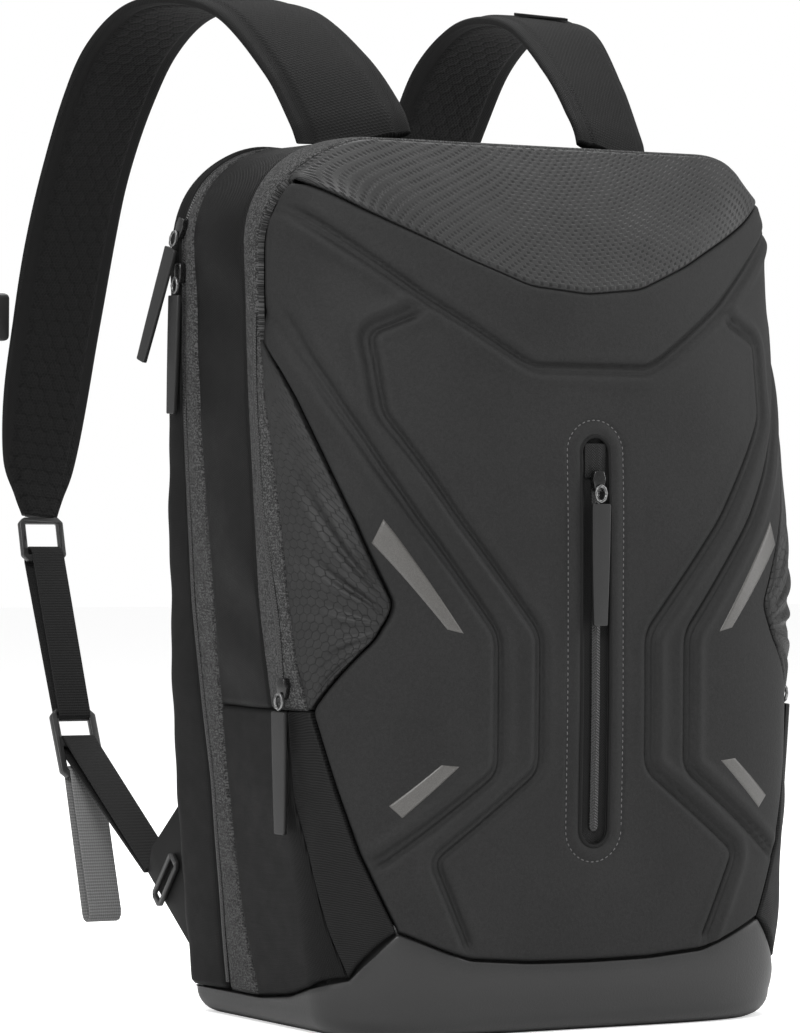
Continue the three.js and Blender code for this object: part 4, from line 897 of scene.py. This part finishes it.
# Back. A padded panel of open mesh inside the rear band, its foam pressed into two long pads with
# a channel between them, each crossed by two narrow channels.
back_rows = np.linspace(foot + BACK_CORNER, HEIGHT - BACK_CORNER, 190)[:, None]
across = np.linspace(-1, 1, 120)[None, :]
inner = half_width(np.clip(back_rows, 0, HEIGHT)) - BACK_CORNER - 0.4
corner_z = HEIGHT - CORNER
past = (CORNER - BACK_CORNER) ** 2 - (back_rows - corner_z) ** 2
arc = HALF - CORNER + np.sqrt(np.clip(past, 0, None))
inner = np.where(back_rows > corner_z, arc - 0.4, inner)
x = across * inner
points = np.stack([x, 0 * x + REAR - 0.5, back_rows + 0 * x], -1)
rise = (back_rows - foot) / (HEIGHT - foot)
pads = np.clip(1 - ((np.abs(x) - 72) / 52) ** 6, 0, 1) ** 0.5
split = 1 - np.exp(-((rise - 0.3) / 0.012) ** 2) - np.exp(-((rise - 0.64) / 0.012) ** 2)
relief = (3.0 + 4.5 * pads * split) * np.clip((1 - np.abs(across) ** 14), 0, 1) ** 0.5
relief = relief * np.clip(np.sin(np.pi * np.clip(rise, 0.01, 0.99)) * 9, 0, 1) ** 0.5


def spacer(name, light, dark, pitch):
    """Open spacer mesh: a honeycomb of holes with rounded walls."""
    mesh = Finish(name)
    across, along, edge = mesh.cloth()
    cell = hexagon(across / pitch, along / pitch)
    wall = mesh.soft(cell, 0.22, 0.44)
    yarn = mesh.noise(mesh.place(), 1500.0, 2.0)
    return mesh.cover(
        Base_Color=mesh.mix(wall * 0.8 + yarn * 0.3, grey(dark), grey(light)), Roughness=0.8,
        Normal=mesh.bump(wall + yarn * 0.3, 0.6, 0.9), Specular_IOR_Level=0.15,
    )


panel("back_pad", points, spacer("back_mesh", 22, 5, 3.2), ["back_panel"], relief,
      roll=3.0, lip=4.0)


# Shoulder straps. Foam pads faced with spacer mesh outside and hexagon-quilted mesh inside, their
# edges bound in woven tape, sewn to the top behind the gusset and tapering to the ring's loop.
SPREAD, SPLAY, REACH, ROOT, STRAP_RISE, DROP = 82, 42, 331, 20, 87, 202
STRAP_ROUTE = np.array([
    # out, back, up, width, turn of the width in degrees
    [0.00, 0.000, 0.000, 1.00, 24], [0.03, 0.036, 0.200, 1.00, 24], [0.11, 0.125, 0.530, 1.00, 19],
    [0.26, 0.260, 0.870, 1.00, 9], [0.45, 0.405, 1.000, 1.00, 1], [0.61, 0.553, 0.985, 1.00, -4],
    [0.68, 0.680, 0.780, 1.00, -6], [0.72, 0.772, 0.440, 1.00, -7], [0.73, 0.862, -0.010, 1.00, -8],
    [0.74, 0.920, -0.200, 1.00, -8], [0.77, 0.965, -0.420, 1.00, -8],
    [0.85, 0.990, -0.640, 0.97, -8], [0.94, 0.995, -0.840, 0.80, -8],
    [0.98, 0.985, -0.940, 0.55, -8], [1.00, 0.975, -1.000, 0.38, -8]])


def smooth_route(stops, count):
    """A cubic through each stop, leaving it in the direction of its two neighbours."""
    stops = np.asarray(stops, float)
    at = np.linspace(0, len(stops) - 1, count)
    k = np.minimum(at.astype(int), len(stops) - 2)
    t = (at - k)[:, None]
    slope = np.gradient(stops, axis=0)
    a, b, m, n = stops[k], stops[k + 1], slope[k], slope[k + 1]
    return ((2 * t ** 3 - 3 * t ** 2 + 1) * a + (t ** 3 - 2 * t ** 2 + t) * m
            + (3 * t ** 2 - 2 * t ** 3) * b + (t ** 3 - t ** 2) * n)


def carried(middle, across, profile, wide, thick):
    """A closed profile carried along a path: its w along the width, its h outward."""
    along = unit(np.gradient(middle, axis=0))
    across = unit(across - along * (across * along).sum(1, keepdims=True))
    out = np.cross(across, along)
    w = profile[None, :, 0] * np.reshape(wide, (-1, 1))
    h = profile[None, :, 1] * np.reshape(thick, (-1, 1))
    ring = middle[:, None] + across[:, None] * w[..., None] + out[:, None] * h[..., None]
    return ring, w, run_of(middle)


def capped(count, rows):
    """The two end faces of a carried profile."""
    return [tuple(range(count - 1, -1, -1)), tuple(range((rows - 1) * count, rows * count))]


def strap_profile():
    """A pad's section: flat faces crowned by 1 mm, thinner bound edges, a step between them."""
    w = np.concatenate([np.linspace(-31, 31, 45), np.linspace(31, -31, 45)[1:-1]])
    upper = np.arange(len(w)) < 45
    inside = np.clip((22.5 - np.abs(w)) / 2.5, 0, 1)
    inside = inside ** 2 * (3 - 2 * inside)
    end = np.sqrt(np.clip(1 - (np.abs(w) / 31.2) ** 14, 0, 1))
    h = (2.7 + 1.7 * inside * (1 - 0.25 * (w / 22) ** 2)) * end
    return np.stack([w, np.where(upper, h, -h)], -1)


mesh = Finish("strap_mesh")
across, along, face = mesh.cloth()
quilt = hexagon(across / 9.5, along / 9.5)
pillow = mesh.soft(quilt, 0.5, 0.3)
holes = hexagon(across / 2.1, along / 2.1)
wall = mesh.soft(holes, 0.25, 0.45)
binding = mesh.soft(abs(across), 21.5, 22.6)
chevron = ((along + abs(across % 5.0 - 2.5) * 1.2) * 4.2).sin() * 0.5 + 0.5
inner = mesh.soft(face, 0.1, -0.1)
pad = wall * 0.5 + inner * pillow * 0.9
height = pad * (1 - binding) + chevron * binding * 0.35
tone = (wall * 0.45 + pillow * inner * 0.25) * (1 - binding) + (chevron * 0.4 + 0.25) * binding
fluff = mesh.noise(mesh.place(), 1300.0, 2.0)
STRAP_LOOK = mesh.cover(
    Base_Color=mesh.mix(tone + fluff * 0.25, grey(5), grey(22)), Roughness=0.75,
    Normal=mesh.bump(height + fluff * 0.2, 1.0, 0.8), Specular_IOR_Level=0.15,
)
profile = strap_profile()
for side, hand in ((-1, "left"), (1, "right")):
    rows = 230
    stops = np.stack([
        side * (SPREAD + STRAP_ROUTE[:, 0] * SPLAY), ROOT + STRAP_ROUTE[:, 1] * (REACH - ROOT),
        HEIGHT + 0.4 + STRAP_ROUTE[:, 2] * np.where(STRAP_ROUTE[:, 2] < 0, DROP, STRAP_RISE)], -1)
    middle = smooth_route(stops, rows)
    more = smooth_route(STRAP_ROUTE[:, 3:5], rows)
    turn = np.radians(more[:, 1])
    width_way = np.stack([-side * np.cos(turn), -np.sin(turn), 0 * turn], -1)
    wave = 1 + 0.012 * np.sin(np.linspace(0, 31, rows))
    ring, w, run = carried(middle, width_way * -side, profile, more[:, 0] * wave,
                           np.linspace(1, 0.95, rows))
    near_root = (ring[:, :, 2] < HEIGHT + 0.8) & (run[:, None] < 40)
    ring[:, :, 2] = np.where(near_root, HEIGHT + 0.8, ring[:, :, 2])
    facing = np.sign(profile[None, :, 1]) * np.ones((rows, 1))
    cloth = np.stack([w, run[:, None] + 0 * w, facing], -1).reshape(-1, 3)
    count = len(profile)
    solid(f"strap_{hand}", ring.reshape(-1, 3), grid_faces(rows, count, True), cloth, STRAP_LOOK,
          [f"shoulder_strap_{hand}"], caps=capped(count, rows))


# Front zip. A welt of folded tape stands round the slot, held by a line of light stitches, over
# two woven tapes with the coil between them and a folded cover at the top for the slider.
def speckled(name, scale, dark, light, rough, vary, relief, strength=0.6, detail=2.0, **more):
    """A plain finish: one fine noise drives its tone, its roughness and its pits."""
    coat = Finish(name)
    speck = coat.noise(coat.place(), scale, detail)
    return coat.cover(
        Base_Color=coat.mix(speck, grey(dark), grey(light)), Roughness=speck * vary + rough,
        Normal=coat.bump(speck, relief, strength), **more)


def stitches(name, line, normal, pitch, length, radius, look):
    """A row of short rounded bars along a line: each is 6 rings of 6 points, sunk at its ends."""
    run = run_of(line)
    starts = np.arange(pitch / 2, run[-1] - length, pitch)
    t = np.linspace(0, 1, 6)
    at = starts[:, None] + t[None, :] * length
    middle = np.stack([np.interp(at, run, line[:, k]) for k in range(3)], -1)
    lift = np.stack([np.interp(at, run, normal[:, k]) for k in range(3)], -1)
    across = np.cross(unit(np.gradient(middle, axis=1)), lift)
    bow = (np.sin(np.pi * t) ** 0.5)[None, :, None]
    middle = middle + lift * (bow - 0.7) * radius
    turn = np.linspace(0, 2 * np.pi, 7)[:-1]
    r = radius * (0.45 + 0.55 * bow)[..., None]
    ring = (middle[:, :, None] + across[:, :, None] * np.cos(turn)[None, None, :, None] * r
            + lift[:, :, None] * np.sin(turn)[None, None, :, None] * r)
    one = grid_faces(6, 6, True)[:, ::-1]
    faces = (one[None] + (np.arange(len(starts)) * 36)[:, None, None]).reshape(-1, 4)
    flat = ring.reshape(-1, 3)
    solid(name, flat, faces, flat, look)


def around_slot(distance, count):
    """A closed way round the slot's middle line: up, over, down and under, at a distance."""
    run = SLOT_HIGH - SLOT_LOW
    total = 2 * run + 2 * np.pi * distance
    s = np.linspace(0, total, count)
    arc = np.pi * distance
    legs = [s < run, s < run + arc, s < 2 * run + arc]
    a, b = (s - run) / distance, (s - 2 * run - arc) / distance
    x = np.select(legs, [0 * s + distance, distance * np.cos(a), 0 * s - distance],
                  -distance * np.cos(b))
    up, over, down = SLOT_LOW + s, SLOT_HIGH + distance * np.sin(a), SLOT_HIGH - (s - run - arc)
    z = np.select(legs, [up, over, down], SLOT_LOW - distance * np.sin(b))
    return x + SLOT_X, z


def on_shell(x, z, lift=0.0):
    """Points on the pressed face of the shell, with its normals, raised by lift along them."""
    y = shell_depth(x, z) - shell_relief(x, z)
    normal = unit(np.stack([
        (shell_depth(x + 2, z) - shell_depth(x - 2, z)) / 4, -np.ones_like(x),
        (shell_depth(x, z + 2) - shell_depth(x, z - 2)) / 4], -1))
    return np.stack([x, y, z], -1) + normal * lift, normal


x, z = around_slot(WELT_SEAM, 400)
line, lean = on_shell(x, z, 0.15)
THREAD_LOOK = speckled("light_thread", 2600.0, 57.6, 96, 0.6, 0.0, 0.1, 0.8)
stitches("welt_stitches", line, lean, 3.1, 2.0, 0.34, THREAD_LOOK)

x, z = around_slot(8.9, 360)
middle = np.stack([x, shell_depth(x, z) - 0.1, z], -1)
turn = np.linspace(0, 2 * np.pi, 17)[:-1]
outward = unit(np.stack([x - SLOT_X, 0 * x, z - np.clip(z, SLOT_LOW, SLOT_HIGH)], -1))
front_way = np.array([0.0, -1.0, 0.0])
tube = (middle[:, None] + outward[:, None] * (np.cos(turn) * 1.25)[None, :, None]
        + front_way * (np.sin(turn) * 1.35)[None, :, None])
rows, count = tube.shape[:2]
cloth = np.stack([np.repeat(np.arange(rows) * 1.4, count), np.tile(turn * 1.3, rows),
                  np.zeros(rows * count)], -1)
WELT_LOOK = woven("welt_tape", 22, 10, 0.8, 0.0, gloss=0.45, relief=0.06)
here, beyond, last = np.arange(count), (np.arange(count) + 1) % count, (rows - 2) * count
closing = np.stack([last + here, last + beyond, beyond, here], -1)
solid("slot_lip", tube[:-1].reshape(-1, 3),
      np.concatenate([grid_faces(rows - 1, count, True), closing])[:, ::-1],
      cloth[:-count], WELT_LOOK)

tape = Finish("zip_tape")
px, py, pz = tape.parts(tape.place())
herring = ((pz + abs(px % 0.004 - 0.002)) * 4500.0).sin() * 0.5 + 0.5
TAPE_LOOK = tape.ribs(herring, 8, 22, 0.6, 0.2, 0.8, Specular_IOR_Level=0.2)
coil = Finish("zip_coil")
px, py, pz = coil.parts(coil.place())
turns = ((pz + abs(px) * 0.6) * 4190.0).sin() * 0.5 + 0.5
middle_line = coil.soft(abs(px), 0.0001, 0.0006)
COIL_LOOK = coil.ribs(turns * middle_line, 7, 36, 0.42, 0.5, 0.9)


def dress(name, look, bevel=0.0, segments=3):
    """Gives a rigid node its material, and rounds its edges by a bevel in mm."""
    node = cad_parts[name]
    node.data.materials.clear()
    node.data.materials.append(look)
    if bevel:
        weld = node.modifiers.new("weld", "WELD")
        weld.merge_threshold = 2e-5
        edge = node.modifiers.new("round", "BEVEL")
        edge.width, edge.segments, edge.limit_method = bevel / 1000, segments, "ANGLE"
        edge.angle_limit, edge.harden_normals = math.radians(32), False
        edge.use_clamp_overlap = True
        node.data.shade_smooth()


dress("front_zip_tape", TAPE_LOOK)
dress("front_zip_coil", COIL_LOOK)
dress("front_zip_garage", TAPE_LOOK, bevel=0.4)


# Reflective film. Four strips cut on a slant and heat-bonded to the shell, grey with a faint
# speckle of glass beads.
film = Finish("reflective_film")
beads = film.noise(film.place(), 2200.0, 1.0)
film_look = film.cover(
    Base_Color=film.mix(film.soft(beads, 0.3, 0.7), (0.05, 0.048, 0.045), (0.075, 0.072, 0.068)),
    Roughness=0.42, Normal=film.bump(beads, 0.05, 0.6), Specular_IOR_Level=0.6,
)
STRIPS = {
    # the two ends of one long edge, then of the other: x and z in mm
    "reflective_upper": [[(120.6, 269.5), (79.5, 210.5)], [(126.0, 257.0), (88.5, 212.5)]],
    "reflective_lower": [[(81.5, 141.5), (111.0, 115.2)], [(91.5, 142.5), (117.5, 121.5)]],
}
t, s = np.linspace(0, 1, 50)[:, None], np.linspace(0, 1, 9)[None, :]
for side, hand in ((-1, "left"), (1, "right")):
    for name, edges in STRIPS.items():
        edge_a, edge_b = (a + t * (b - a) for a, b in np.array(edges))
        x = side * (edge_a[:, :1] * (1 - s) + edge_b[:, :1] * s)
        z = edge_a[:, 1:] * (1 - s) + edge_b[:, 1:] * s
        points, _ = on_shell(x, z, 0.3)
        panel(f"{name}_film_{hand}", points, film_look, [f"{name}_{hand}"],
              roll=0.25, lip=0.6)


# Zip sliders, bails and pulls. Die-cast sliders in gloss black, a bright wire bail through each,
# and a moulded rubber tab folded over the bail.
SLIDER_LOOK = speckled("black_enamel", 700.0, 14, 26, 0.2, 0.12, 0.04, 0.5,
                       Metallic=0.35, Coat_Weight=0.3)
BAIL_LOOK = speckled("bail_wire", 900.0, 90, 150, 0.25, 0.15, 0.0, detail=3.0, Metallic=0.9)
PULL_LOOK = speckled("pull_rubber", 1000.0, 14, 24, 0.42, 0.1, 0.06)
for name in ("front_zip", "pocket_zip_left", "pocket_zip_right", "main_zip_1", "main_zip_2"):
    dress(f"{name}_slider", SLIDER_LOOK, 0.7)
    dress(f"{name}_bail", BAIL_LOOK, 0.5)
    dress(f"{name}_pull", PULL_LOOK, 0.7)


# Strap hardware and webbing. Moulded plastic rings, ladder locks and chest clips; black webbing
# between them, a grey webbing loop for pulling the strap tight, and the fabric wings.
HARD_LOOK = speckled("moulded_plastic", 1400.0, 26, 38, 0.36, 0.12, 0.05)


def ribbed(name, light, dark, pitch):
    """Webbing: fine cross ribs with a herringbone count, lighter on each rib."""
    rib = Finish(name)
    px, py, pz = rib.parts(rib.place())
    line = (pz * (2000 * math.pi / pitch)).sin() * 0.5 + 0.5
    count = (px * (2000 * math.pi / (pitch * 0.8))).sin() * 0.5 + 0.5
    height = line * 0.7 + count * 0.3
    fuzz = rib.noise(rib.place(), 1500.0, 2.0)
    return rib.cover(
        Base_Color=rib.mix(height * 0.7 + fuzz * 0.3, grey(dark), grey(light)), Roughness=0.75,
        Normal=rib.bump(height, 0.3, 0.9), Specular_IOR_Level=0.2,
    )


WEBBING_LOOK, GREY_LOOK = ribbed("black_webbing", 20, 7, 1.5), ribbed("grey_webbing", 118, 70, 1.7)
for hand in ("left", "right"):
    for name, bevel in (("strap_ring", 1.1), ("ladder_lock", 1.1), ("sternum_clip", 2.5),
                        ("wing_ring", 0.9)):
        dress(f"{name}_{hand}", HARD_LOOK, bevel)
    for name, look in (("strap_webbing", WEBBING_LOOK), ("anchor_webbing", WEBBING_LOOK),
                       ("strap_bar", WEBBING_LOOK), ("pull_loop", GREY_LOOK)):
        dress(f"{name}_{hand}", look, 0.4, 2)
    dress(f"wing_{hand}", LOWER_LOOK, 1.6)

low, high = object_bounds()
